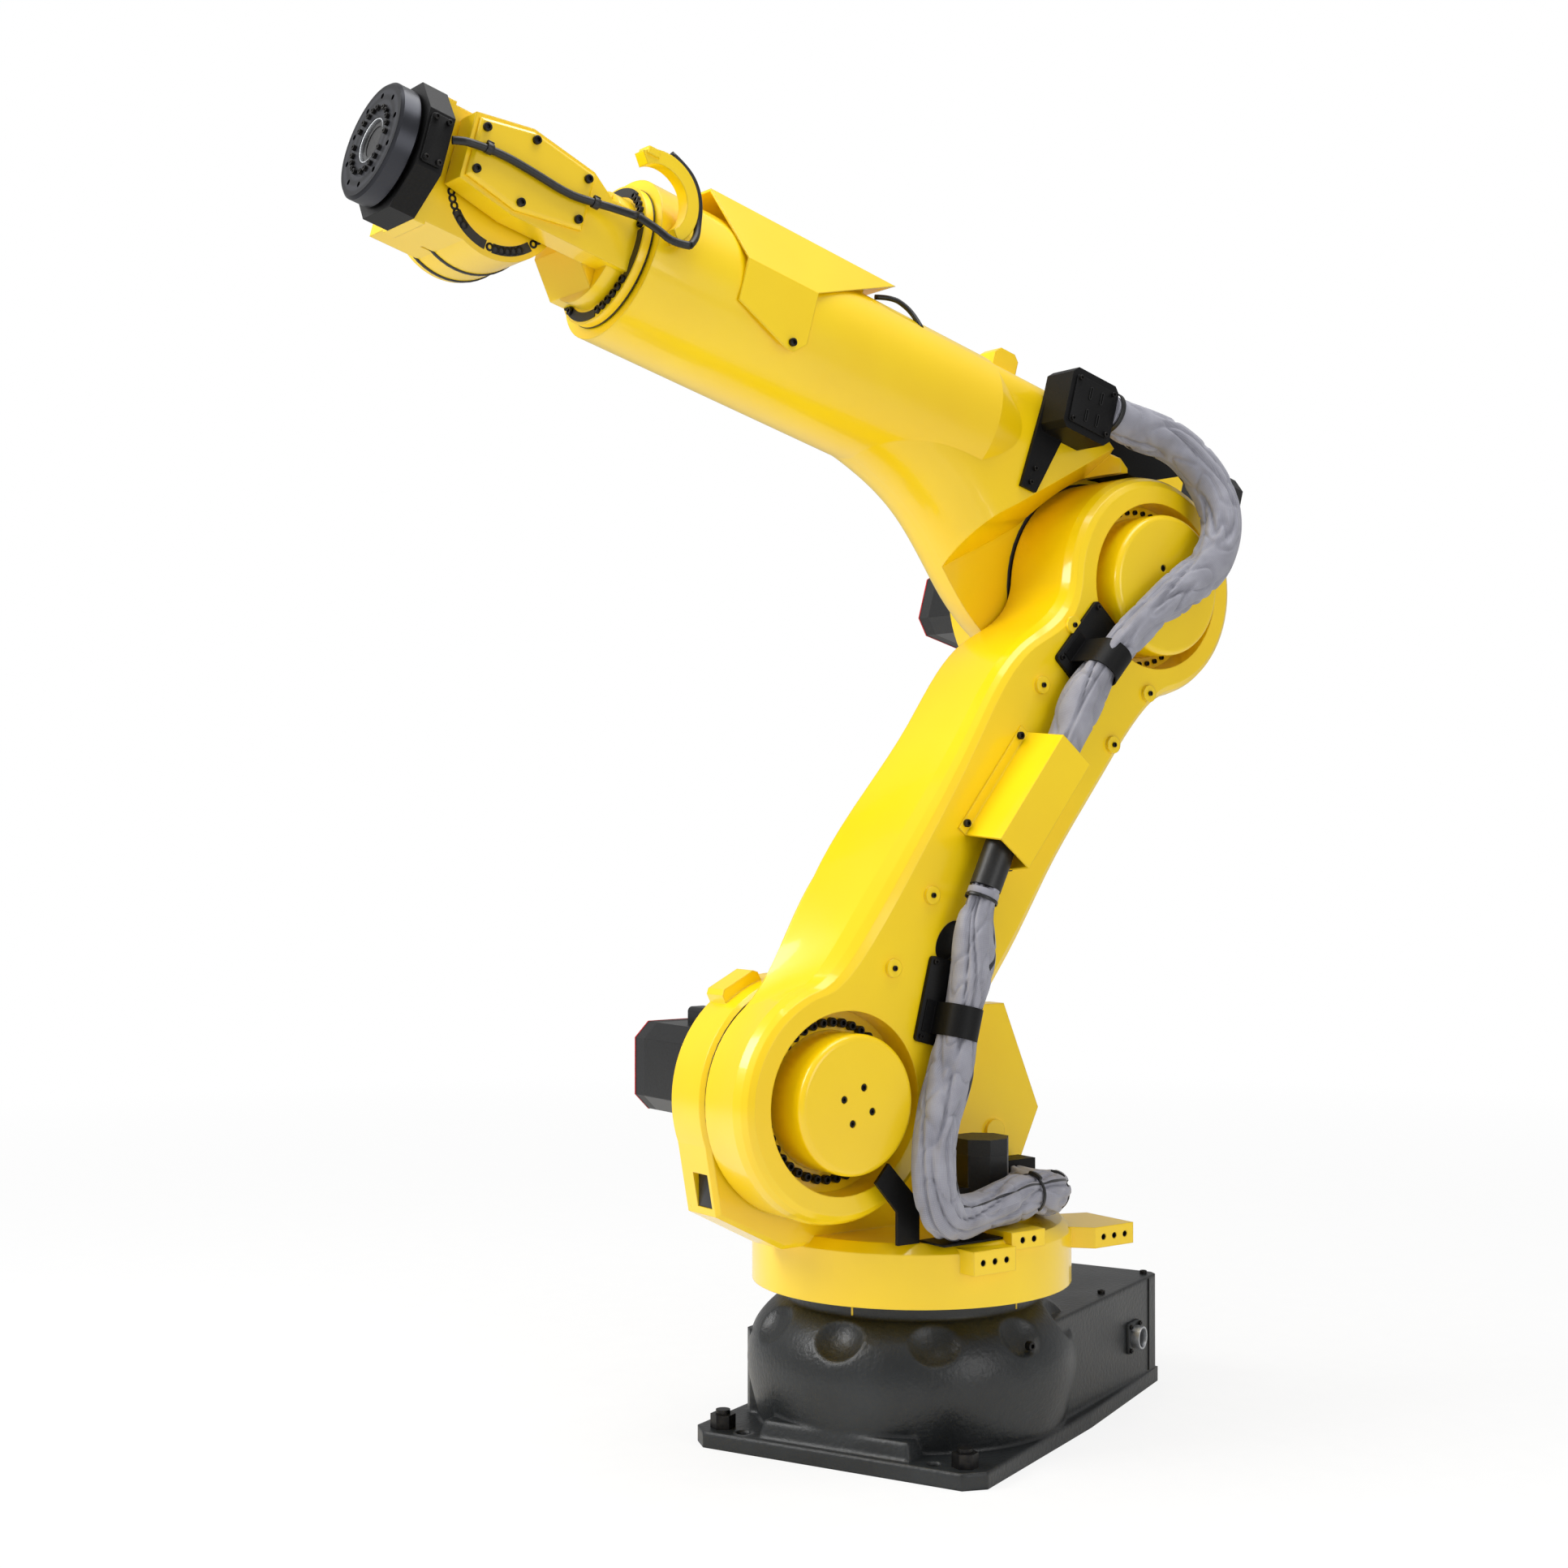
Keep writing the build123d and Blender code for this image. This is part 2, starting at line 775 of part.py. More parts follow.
# Upper arm: rounded neck that flares down into the elbow drum, with the barrel and the gear case
flare_points = [
    (up * barrel_radius, forward * upper_arm_reach)
    for up, forward in zip(flare_up_shares, flare_forward_shares)
]
fold_points = [
    (up * elbow_drum_radius, forward * elbow_drum_radius)
    for up, forward in zip(fold_cut_up_shares, fold_cut_forward_shares)
]
arm_top = elbow_offset + barrel_radius
neck_top = arm_top - neck_top_drop
with BuildPart() as upper_arm_casting:
    with BuildSketch(moved(elbow_frame, z=neck_far)):
        with BuildLine():
            flare = Spline(*flare_points, (flare_end_up, flare_end_forward))
            Polyline(
                flare @ 1,
                (0, 0),
                (elbow_drum_radius, neck_back),
                (neck_top, elbow_drum_radius),
                (neck_top, flare_points[0][1]),
                flare @ 0,
            )
        make_face()
    extrude(amount=neck_near - neck_far)
    fillet(edges().filter_by(GeomType.BSPLINE), neck_low_edge)
    fillet(edges().filter_by(forward_axis), neck_top_edge)
    with BuildSketch(looking(elbow_frame, elbow_offset, barrel_rear)):
        Circle(barrel_radius)
    extrude(amount=upper_arm_reach - barrel_rear)
    with BuildSketch(looking(elbow_frame, elbow_offset, barrel_rear)):
        Circle(barrel_radius)
    extrude(amount=-barrel_taper_length, taper=barrel_taper)
    with BuildSketch(moved(elbow_frame, z=elbow_drum_far)):
        Circle(elbow_drum_radius - elbow_drum_edge)
    extrude(amount=elbow_drum_edge, taper=-drum_slope)
    with BuildSketch(moved(elbow_frame, z=elbow_drum_far + elbow_drum_edge)):
        Circle(elbow_drum_radius)
    extrude(amount=elbow_drum_near - elbow_drum_far - elbow_drum_edge)
    with BuildSketch(moved(elbow_frame, z=elbow_drum_near)):
        Circle(elbow_clear_radius)
    extrude(amount=barrel_radius + overrun, mode=Mode.SUBTRACT)
    with BuildSketch(moved(elbow_frame, z=elbow_drum_near)):
        with BuildLine():
            Polyline(*fold_points, close=True)
        make_face()
    extrude(amount=barrel_radius + overrun, taper=-fold_cut_slope, mode=Mode.SUBTRACT)
    with BuildSketch(moved(elbow_frame, z=gear_case_far)):
        with BuildLine():
            Polyline(
                (gear_case_bottom, -gear_case_back),
                (motor_plate_top, -gear_case_back),
                (motor_plate_top, -gear_case_back + motor_plate_thickness),
                (gear_case_top, -gear_case_back + motor_plate_thickness + gear_case_edge),
                (gear_case_top, elbow_drum_radius - gear_case_edge),
                (gear_case_top - gear_case_edge, elbow_drum_radius),
                (gear_case_bottom, elbow_drum_radius),
                close=True,
            )
        make_face()
    extrude(amount=gear_case_near - gear_case_far)
    with BuildSketch(moved(elbow_frame, z=-arm_lug_width / 2)):
        with Locations((arm_top, barrel_rear - arm_lug_back)):
            Rectangle(arm_lug_height * 2, arm_lug_length)
        chamfer(vertices(), gear_case_edge / 2)
    extrude(amount=arm_lug_width)
    with Locations(roll_frame):
        Hole(roll_shaft_radius + seat_gap, roll_shaft_length)
save(upper_arm_casting, "upper_arm_casting")

servo_motor("elbow_motor", away(elbow_frame, z=elbow_drum_far), motor_width, elbow_motor_length)
for motor_name, motor_up, motor_side in (
    ("roll_motor", wrist_motor_high, gear_case_near - wrist_motor_width / 2),
    ("bend_motor", wrist_motor_high, gear_case_far + wrist_motor_width / 2),
    ("tool_motor", wrist_motor_low, (gear_case_near + gear_case_far) / 2),
):
    back_plane = Plane(
        elbow_frame.from_local_coords((motor_up, -gear_case_back, motor_side)),
        x_dir=elbow_frame.x_dir,
        z_dir=-elbow_frame.y_dir,
    )
    servo_motor(motor_name, back_plane, wrist_motor_width, wrist_motor_length)

# Swing motor standing on the turntable behind the shoulder
servo_motor(
    "swing_motor",
    moved(turntable_frame, swing_motor_forward, swing_motor_side, disc_top),
    wrist_motor_width,
    swing_motor_length,
)

# Wrist that rolls: ring flange, neck with a nose that lets the wrist bend, and the near cheek
with BuildPart() as wrist_casting:
    with BuildSketch(roll_frame.offset(ring_gap)):
        Circle(ring_radius)
    extrude(amount=ring_length)
    with BuildSketch(roll_frame.offset(ring_gap + ring_length)):
        Circle(wrist_neck_radius)
    extrude(amount=wrist_length - wrist_neck_front - ring_gap - ring_length)
    with BuildSketch(moved(bend_frame, z=wrist_nose_far)):
        with BuildLine():
            Polyline(
                (wrist_nose_half, -wrist_length + ring_length + ring_gap),
                (wrist_nose_half, -wrist_neck_front),
                (wrist_nose_tip_half, -wrist_nose_tip),
                (-wrist_nose_tip_half, -wrist_nose_tip),
                (-wrist_nose_half, -wrist_neck_front),
                (-wrist_nose_half, -wrist_length + ring_length + ring_gap),
                close=True,
            )
        make_face()
    extrude(amount=wrist_cheek_far - wrist_nose_far)
    with BuildSketch(moved(bend_frame, z=wrist_cheek_far)):
        with BuildLine():
            Polyline(
                (wrist_cheek_back_half, -wrist_length + ring_length + ring_gap),
                (wrist_cheek_back_half, -wrist_cheek_waist),
                (cover_half_up, -cover_half_forward),
                (cover_half_up + cover_rise, 0),
                (cover_half_up, cover_half_forward - cover_rise),
                (-cover_drop, cover_half_forward - cover_rise),
                (-cover_drop - cover_rise, 0),
                (-wrist_cheek_back_half, -wrist_cheek_waist),
                (-wrist_cheek_back_half, -wrist_length + ring_length + ring_gap),
                close=True,
            )
        make_face()
    extrude(amount=wrist_cheek_near - wrist_cheek_far)
    with BuildSketch(moved(bend_frame, z=wrist_cheek_far)):
        Circle(bend_shaft_radius)
    extrude(amount=-bend_shaft_length)
    with BuildSketch(roll_frame.offset(ring_gap)):
        Circle(roll_shaft_radius)
    extrude(amount=-roll_shaft_length)
save(wrist_casting, "wrist_casting")

with BuildPart() as wrist_cover:
    with BuildSketch(moved(bend_frame, z=wrist_cheek_near)):
        with BuildLine():
            Polyline(
                (cover_half_up - cover_margin, -cover_half_forward),
                (cover_half_up + cover_rise - cover_margin, 0),
                (cover_half_up - cover_margin, cover_half_forward - cover_rise - cover_margin),
                (-cover_drop + cover_margin, cover_half_forward - cover_rise - cover_margin),
                (-cover_drop - cover_rise + cover_margin, 0),
                (-cover_drop + cover_margin, -cover_half_forward),
                close=True,
            )
        make_face()
    extrude(amount=cover_thickness)
    chamfer(faces().sort_by(near_axis)[-1].edges(), cover_thickness / 2)
save(wrist_cover, "wrist_cover")

# Wrist that bends: a drum with two seal grooves, a block and a flange that carries the tool case
with BuildPart() as bend_casting:
    with BuildSketch(moved(bend_frame, z=bend_far)):
        Circle(bend_radius)
    extrude(amount=wrist_cheek_far - running_gap - bend_far)
    chamfer(faces().sort_by(near_axis)[0].edges(), bend_edge)
    with BuildSketch(moved(bend_frame, z=bend_gap_far)):
        with Locations((0, tool_case_back / 2)):
            Rectangle(bend_block_half * 2, tool_case_back)
    extrude(amount=wrist_cheek_far - running_gap - bend_gap_far)
    with BuildSketch(looking(bend_frame, 0, tool_case_back)):
        with BuildLine():
            Polyline(
                (bend_flange_half, running_gap - wrist_cheek_far),
                (bend_flange_half, -bend_flange_far - bend_flange_corner),
                (bend_flange_half - bend_flange_corner, -bend_flange_far),
                (-bend_flange_half + bend_flange_corner, -bend_flange_far),
                (-bend_flange_half, -bend_flange_far - bend_flange_corner),
                (-bend_flange_half, running_gap - wrist_cheek_far),
                close=True,
            )
        make_face()
    extrude(amount=-bend_flange_thickness)
    for groove in (bend_gap_near, bend_gap_far):
        with BuildSketch(moved(bend_frame, z=groove)):
            Circle(bend_radius + overrun)
            Circle(bend_radius - bend_groove, mode=Mode.SUBTRACT)
            with Locations((0, tool_case_back)):
                Rectangle(bend_radius * 2, tool_case_back, mode=Mode.SUBTRACT)
        extrude(amount=-bend_groove, mode=Mode.SUBTRACT)
    with Locations(moved(bend_frame, z=wrist_cheek_far - running_gap)):
        Hole(bend_shaft_radius + seat_gap, bend_shaft_length)
save(bend_casting, "bend_casting")

with BuildPart() as tool_case:
    with BuildSketch(looking(bend_frame, 0, tool_case_back)):
        Rectangle(tool_case_half * 2, tool_case_half * 2)
        chamfer(vertices(), tool_case_corner)
    extrude(amount=tool_length - tool_disc_height - tool_case_back - ring_gap)
    with Locations(looking(bend_frame, 0, tool_length - tool_disc_height - ring_gap)):
        Hole(tool_shaft_radius + seat_gap, tool_shaft_length)
save(tool_case, "tool_case")

with BuildPart() as tool_flange:
    with BuildSketch(tool_frame):
        Circle(tool_disc_radius)
    extrude(amount=-tool_disc_height)
    chamfer(edges(), tool_disc_edge)
    with BuildSketch(tool_frame.offset(-tool_disc_height)):
        Circle(tool_shaft_radius)
    extrude(amount=-tool_shaft_length)
    with Locations(tool_frame):
        Hole(tool_bore_radius, tool_bore_depth)
        with PolarLocations(tool_bolt_circle, tool_bolt_count):
            Hole(tool_bolt_radius, tool_bolt_depth)
save(tool_flange, "tool_flange")

# Folded sheet cover like a roof over the barrel, with a flap down each side
ridge_up = elbow_offset + cover_ridge_rise
fold_up = elbow_offset + cover_fold_rise
flap_low = elbow_offset - flap_low_drop - overrun
roof_front = upper_arm_reach - top_cover_front_gap
flap_front = upper_arm_reach - flap_front_gap
flap_back = flap_front - flap_length
with BuildPart() as top_cover:
    with BuildSketch(looking(elbow_frame, 0, roof_front - top_cover_length)):
        with BuildLine():
            Polyline(
                (flap_low, -barrel_radius - seat_gap - sheet),
                (fold_up, -barrel_radius - seat_gap - sheet),
                (ridge_up, -cover_ridge_half),
                (ridge_up, cover_ridge_half),
                (fold_up, barrel_radius + seat_gap + sheet),
                (flap_low, barrel_radius + seat_gap + sheet),
                (flap_low, barrel_radius + seat_gap),
                (fold_up, barrel_radius + seat_gap),
                (ridge_up - sheet, cover_ridge_half - sheet),
                (ridge_up - sheet, -cover_ridge_half + sheet),
                (fold_up, -barrel_radius - seat_gap),
                (flap_low, -barrel_radius - seat_gap),
                close=True,
            )
        make_face()
    extrude(amount=top_cover_length)
    with BuildSketch(moved(elbow_frame, z=-barrel_radius * 2)):
        with BuildLine():
            Polyline(
                (ridge_up, roof_front - top_cover_length),
                (ridge_up, roof_front),
                (fold_up, flap_front),
                (elbow_offset - flap_front_drop, flap_front),
                (elbow_offset - flap_low_drop, flap_front - flap_tip_back),
                (elbow_offset - flap_low_drop, flap_front - flap_tip_back - flap_tip_length),
                (elbow_offset - flap_back_drop, flap_back),
                (fold_up, flap_back),
                close=True,
            )
        make_face()
    extrude(amount=barrel_radius * 4, mode=Mode.INTERSECT)
    with BuildSketch(looking(elbow_frame, elbow_offset, roof_front - top_cover_length + cover_foot)):
        with Locations((cover_ridge_rise / 2, 0)):
            Rectangle(cover_ridge_rise - sheet, cover_ridge_half)
        Circle(barrel_radius + seat_gap, mode=Mode.SUBTRACT)
    extrude(amount=cover_foot)
save(top_cover, "top_cover")

# Hook that holds the wrist cable at the front of the barrel
with BuildPart() as cable_hook:
    with BuildSketch(moved(elbow_frame, z=barrel_radius + seat_gap)):
        with BuildLine():
            Spline(*[
                (elbow_offset + up * hook_rise, upper_arm_reach + forward * hook_reach)
                for up, forward in zip(hook_up_shares, hook_forward_shares)
            ])
        trace(line_width=hook_band)
    extrude(amount=hook_width)
save(cable_hook, "cable_hook")

# Clamp block that ends the upper hose, with the flat leg that carries it
with BuildPart() as clamp_block:
    with BuildSketch(moved(elbow_frame, z=neck_near + seat_gap)):
        with Locations((clamp_up, clamp_forward)):
            Rectangle(clamp_height, clamp_length)
        chamfer(vertices(), gear_case_edge / 2)
    extrude(amount=clamp_width)
    with BuildSketch(moved(elbow_frame, z=neck_near + seat_gap)):
        with BuildLine():
            Polyline(
                (clamp_up, clamp_forward - clamp_leg_width / 2),
                (clamp_up, clamp_forward + clamp_length / 2),
                (clamp_leg_low, clamp_leg_forward + clamp_leg_width / 2),
                (clamp_leg_low, clamp_leg_forward - clamp_leg_width / 2),
                close=True,
            )
        make_face()
    extrude(amount=clamp_leg_thickness)
save(clamp_block, "clamp_block")

# Pad that the upper hose rests on over the elbow
neck_slope = (neck_top - elbow_drum_radius) / (elbow_drum_radius - neck_back)
with BuildPart() as hose_guide:
    with BuildSketch(moved(elbow_frame, z=guide_far)):
        with BuildLine():
            Polyline(
                (elbow_drum_radius + (guide_front + neck_back) * neck_slope + seat_gap, guide_front + neck_back * 2),
                (elbow_drum_radius + seat_gap, neck_back),
                (elbow_drum_radius + seat_gap, 0),
                (elbow_drum_radius + guide_lift, -guide_back),
                (elbow_drum_radius + guide_lift + guide_thickness, -guide_back),
                (elbow_drum_radius + guide_lift, guide_front),
                close=True,
            )
        make_face()
    extrude(amount=guide_near - guide_far)
save(hose_guide, "hose_guide")


def placed(frame, route):
    """Points of a route, given in a link's frame, as points of the whole arm."""
    return [frame.from_local_coords(point) for point in route]


def hose(name, points, radius):
    """A tube of straight runs and tangent arcs through points."""
    radii = []
    for before, here, after in zip(points, points[1:], points[2:]):
        turn = (here - before).get_angle(after - here)
        shorter = min((here - before).length, (after - here).length)
        radii.append(bend_share * shorter / tan(radians(turn / 2)))
    with BuildPart() as tube:
        with BuildLine():
            path = FilletPolyline(*points, radius=radii)
        with BuildSketch(Plane(path @ 0, z_dir=path % 0)):
            Circle(radius)
        sweep(path=path)
    print(name, "length", round(path.length), "radii", [round(value) for value in radii])
    print(name, "volume share", round(tube.part.volume / (pi * radius**2 * path.length), 4))
    save(tube, name)


# Tray that carries the hose on the turntable, the bent strip beside it and the inlet behind it
with BuildPart() as hose_tray:
    with BuildSketch(turntable_frame.offset(disc_top)):
        with Locations((tray_forward, tray_side)):
            Rectangle(tray_length, tray_width)
    extrude(amount=sheet)
save(hose_tray, "hose_tray")

strip_foot = disc_top - shoulder_height + seat_gap
with BuildPart() as hose_strip:
    with BuildSketch(moved(shoulder_frame, z=strip_side)):
        with BuildLine():
            Polyline(*[
                (strip_foot + up * strip_rise, strip_forward + forward * strip_width)
                for up, forward in zip(strip_up_shares, strip_forward_shares)
            ], close=True)
        make_face()
    extrude(amount=strip_thickness)
save(hose_strip, "hose_strip")

with BuildPart() as hose_inlet:
    with BuildSketch(turntable_frame.offset(disc_top)):
        with Locations((inlet_forward, inlet_side - inlet_length / 2)):
            Rectangle(hose_radius * 2 + overrun, inlet_length)
    extrude(amount=hose_radius * 2 + overrun)
save(hose_inlet, "hose_inlet")


def saddle(name, along, across, level, turn):
    """A plate on the lower arm's near face with a strap round the hose."""
    plate_frame = turned(moved(lower_frame, along, across, arm_near + seat_gap), turn)
    strap_plane = Plane(plate_frame.origin, x_dir=plate_frame.y_dir, z_dir=plate_frame.x_dir)
    rise = level - arm_near
    strap_radius = hose_radius + strap_gap + strap_wall
    with BuildPart() as clamp:
        with BuildSketch(plate_frame):
            with Locations((0, -saddle_shift)):
                Rectangle(saddle_length, saddle_width)
        extrude(amount=sheet)
        with BuildSketch(strap_plane):
            with Locations((0, rise)):
                Circle(strap_radius)
            with Locations((0, rise / 2)):
                Rectangle(strap_radius * 2, rise)
            with Locations((0, -rise)):
                Rectangle(strap_radius * 2, rise * 2, mode=Mode.SUBTRACT)
            with Locations((0, rise)):
                Circle(hose_radius + strap_gap, mode=Mode.SUBTRACT)
        extrude(amount=strap_length / 2, both=True)
    save(clamp, name)


upper_saddle_along = lower_arm_length - elbow_hub_radius - saddle_length / 2 - saddle_clearance
saddle("lower_saddle", lower_saddle_along, lower_saddle_across, hose_level, lower_saddle_turn)
saddle("upper_saddle", upper_saddle_along, upper_saddle_across, upper_hose_level, upper_saddle_turn)

# Folded sheet cover over the hose in the middle of the lower arm
hose_cover_start = hose_cover_share * lower_arm_length - hose_cover_length / 2
hose_cover_end = hose_cover_start + hose_cover_length
cover_plane = Plane(
    lower_frame.from_local_coords((hose_cover_start, hose_cover_across, arm_near + seat_gap)),
    x_dir=lower_frame.y_dir,
    z_dir=lower_frame.x_dir,
)
channel_half = hose_radius + strap_gap
channel_height = hose_level - arm_near + hose_radius + strap_gap + sheet
with BuildPart() as hose_cover:
    with BuildSketch(cover_plane):
        with Locations((0, sheet / 2)):
            Rectangle(hose_cover_width, sheet)
        with BuildLine():
            Polyline(
                (-hose_channel_width / 2, 0),
                (-channel_half, channel_height),
                (channel_half, channel_height),
                (hose_channel_width / 2, 0),
                close=True,
            )
        make_face()
        with BuildLine():
            Polyline(
                (-hose_channel_width / 2 + sheet, 0),
                (-channel_half + sheet, channel_height - sheet),
                (channel_half - sheet, channel_height - sheet),
                (hose_channel_width / 2 - sheet, 0),
                close=True,
            )
        make_face(mode=Mode.SUBTRACT)
    extrude(amount=hose_cover_length)
save(hose_cover, "hose_cover")

# Sleeved hose in five lengths, from the inlet over both joints to the clamp block
low_run = hose_cover_start - cuff_run - lower_saddle_along
low_side = hose_cover_across - lower_saddle_across
low_points = [
    (lower_saddle_along + along * low_run, lower_saddle_across + across * low_side, hose_level)
    for along, across in zip(low_along_shares, low_across_shares)
]
high_start = hose_cover_end - hose_under_cover
high_run = upper_saddle_along - seat_gap - high_start
high_side = upper_saddle_across - hose_cover_across
high_points = [
    (
        high_start + along * high_run,
        hose_cover_across + across * high_side,
        hose_level + level * (upper_hose_level - hose_level),
    )
    for along, across, level in zip(high_along_shares, high_across_shares, high_level_shares)
]
clamp_rear = clamp_forward - clamp_length / 2 - seat_gap
clamp_points = (
    (clamp_up + clamp_end_rise, clamp_rear - clamp_end_run, clamp_end_level),
    (clamp_up + clamp_end_rise, clamp_rear, clamp_end_level),
)
upper_saddle_frame = moved(lower_frame, upper_saddle_along, upper_saddle_across, upper_hose_level)
deck_frame = moved(turntable_frame, z=disc_top)
hose("tail_hose", placed(deck_frame, tail_route), hose_radius)
hose(
    "shoulder_hose",
    placed(deck_frame, shoulder_start) + placed(lower_frame, shoulder_route),
    hose_radius,
)
hose("arm_hose_low", placed(lower_frame, low_points), hose_radius)
hose("arm_hose_high", placed(lower_frame, high_points), hose_radius)
hose(
    "elbow_hose",
    placed(upper_saddle_frame, elbow_start) + placed(elbow_frame, elbow_route + clamp_points),
    hose_radius,
)

# Black cuff where the hose goes under the cover
low_end = low_points[-1]
cuff_start = lower_frame.from_local_coords((low_end[0] + seat_gap, low_end[1], low_end[2]))
cuff_end = lower_frame.from_local_coords((hose_cover_start, hose_cover_across, hose_level))
with BuildPart() as hose_cuff:
    with BuildSketch(Plane(cuff_start, z_dir=cuff_end - cuff_start)):
        Circle(cuff_radius)
    extrude(amount=(cuff_end - cuff_start).length + cuff_length)
save(hose_cuff, "hose_cuff")

# Thin black cable from the tool case along the wrist cover to the hook
cable_level = wrist_cheek_near + cover_thickness + cable_radius + cable_lift
wrist_points = [
    (up, forward, cable_level + level)
    for up, forward, level in zip(wrist_up_points, wrist_forward_points, wrist_level_points)
]
hose("wrist_cable", placed(bend_frame, wrist_points), cable_radius)
hose("roll_cable", placed(bend_frame, roll_route), cable_radius)
hose("tool_cable", placed(bend_frame, tool_cable_route), cable_radius)
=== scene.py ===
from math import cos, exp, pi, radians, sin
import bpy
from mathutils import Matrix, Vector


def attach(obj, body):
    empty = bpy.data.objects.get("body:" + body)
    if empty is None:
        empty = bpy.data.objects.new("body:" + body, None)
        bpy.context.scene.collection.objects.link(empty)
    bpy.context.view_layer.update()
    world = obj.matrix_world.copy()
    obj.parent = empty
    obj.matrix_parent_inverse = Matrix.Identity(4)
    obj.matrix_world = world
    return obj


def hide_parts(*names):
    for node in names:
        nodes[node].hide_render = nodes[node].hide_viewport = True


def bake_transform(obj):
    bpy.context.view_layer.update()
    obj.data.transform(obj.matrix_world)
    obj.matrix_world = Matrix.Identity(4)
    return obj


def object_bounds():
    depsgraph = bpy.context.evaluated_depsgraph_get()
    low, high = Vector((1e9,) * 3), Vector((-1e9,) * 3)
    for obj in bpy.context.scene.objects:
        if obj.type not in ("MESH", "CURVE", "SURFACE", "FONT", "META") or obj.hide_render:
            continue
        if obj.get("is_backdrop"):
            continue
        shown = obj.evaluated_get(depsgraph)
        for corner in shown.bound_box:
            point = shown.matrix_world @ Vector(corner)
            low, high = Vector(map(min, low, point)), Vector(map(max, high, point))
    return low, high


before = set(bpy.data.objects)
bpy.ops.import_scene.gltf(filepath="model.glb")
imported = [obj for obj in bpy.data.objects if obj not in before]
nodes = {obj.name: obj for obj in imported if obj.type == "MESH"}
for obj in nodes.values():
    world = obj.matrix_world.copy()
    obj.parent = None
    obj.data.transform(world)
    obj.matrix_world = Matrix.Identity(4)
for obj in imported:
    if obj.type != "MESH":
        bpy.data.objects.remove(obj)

# %% [markdown]
# # A six-axis robot arm, dressed step by step
# The real arm is a stack of iron and aluminium castings that are sprayed with one thick coat of yellow
# enamel. The solid model gives the castings. This lesson adds what a solid leaves out: cloth
# sleeves, cables, screws, seals, ties and the finishes.
# Everything could be modelled again from nothing, but the solid parts are exact, so they stay as they
# are, and each new piece is set on them in the same frame, in metres.

# %% Start from the solid arm
from types import SimpleNamespace

import bmesh
import bpy
from mathutils import Matrix, Vector, noise

cad_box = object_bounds()
print("nodes:", len(nodes), "box:", [[round(value, 3) for value in corner] for corner in cad_box])

# %% [markdown]
# ## Camera
# The picture was taken from chest height with a short telephoto lens, looking along the arm's near
# side. A camera could be framed by eye, but its place was worked out from the round flanges and the
# level base plate, so those numbers are written straight in.

# %% Camera
camera = bpy.data.objects.new("camera", bpy.data.cameras.new("camera"))
camera.location = (3.906, 2.031, 1.192)
camera.rotation_euler = (radians(90.72), 0, radians(120.69))
camera.data.lens = 51.82
camera.data.sensor_width = 36
bpy.context.scene.collection.objects.link(camera)
bpy.context.scene.camera = camera
print("camera at", tuple(round(value, 3) for value in camera.location))

# %% [markdown]
# ## Frames of the links
# Each link of a robot has its own axes: X up or along the link, Y forward and Z towards the near
# side. Points of a piece are easier to read in those axes than in the room's, so one matrix for each
# link turns them into the room's frame. Lengths are given in millimetres, as on a drawing.

# %% Link frames
swing, lean, tilt = radians(-23.4), radians(38.8), radians(15.6)
ahead = Vector((cos(swing), sin(swing), 0))
near = Vector((-sin(swing), cos(swing), 0))
up = Vector((0, 0, 1))


def link_frame(origin, turn):
    """Axes of a link that is turned from upright towards the front, as a matrix."""
    along = up * cos(turn) + ahead * sin(turn)
    forward = ahead * cos(turn) - up * sin(turn)
    axes = Matrix((along, forward, near)).transposed().to_4x4()
    axes.translation = origin
    return axes


def at(link, *point):
    """A point of a link, in millimetres, as a point of the room, in metres."""
    return link @ (Vector(point) / 1000)


def route(link, *points):
    """Points of a link, in millimetres, as points of the room."""
    return [at(link, *point) for point in points]


shoulder_forward, shoulder_height = 312, 670
lower_length = 1250
wrist_rise, wrist_reach = 200, 1507
turntable = Matrix((ahead, near, up)).transposed().to_4x4()
shoulder = link_frame(at(turntable, shoulder_forward, 0, shoulder_height), 0)
lower = link_frame(shoulder.translation, -lean)
elbow = link_frame(at(lower, lower_length, 0, 0), -tilt)
bend = link_frame(at(elbow, wrist_rise, wrist_reach, 0), -tilt)
print("elbow axis at", tuple(round(value, 3) for value in elbow.translation))
print("wrist axis at", tuple(round(value, 3) for value in bend.translation))

# %% [markdown]
# ## Hose sleeves
# The arm's cables run in two grey cloth sleeves. The lower one comes out of the inlet behind the
# shoulder, folds over the tray and climbs to the cuff. The upper one leaves the sheet cover, bends
# round the elbow and ends in the clamp block. A bevelled curve would be a smooth pipe, so the line is
# a NURBS spline and the cloth is a mesh tube round it, whose radius rises and falls in long creases.

# %% A smooth line through a route
def spline_line(points, steps):
    """Points along a NURBS spline that has the route's points as its control points."""
    curve = bpy.data.curves.new("route", "CURVE")
    curve.dimensions = "3D"
    curve.resolution_u = steps
    spline = curve.splines.new("NURBS")
    spline.points.add(len(points) - 1)
    for spot, point in zip(spline.points, points):
        spot.co = (*point, 1)
    spline.order_u = 3
    spline.use_endpoint_u = True
    holder = bpy.data.objects.new("route", curve)
    mesh = bpy.data.meshes.new_from_object(holder)
    line = [vertex.co.copy() for vertex in mesh.vertices]
    bpy.data.objects.remove(holder)
    bpy.data.meshes.remove(mesh)
    return line


def line_length(line):
    """Length of a line of points."""
    return sum((after - before).length for before, after in zip(line, line[1:]))


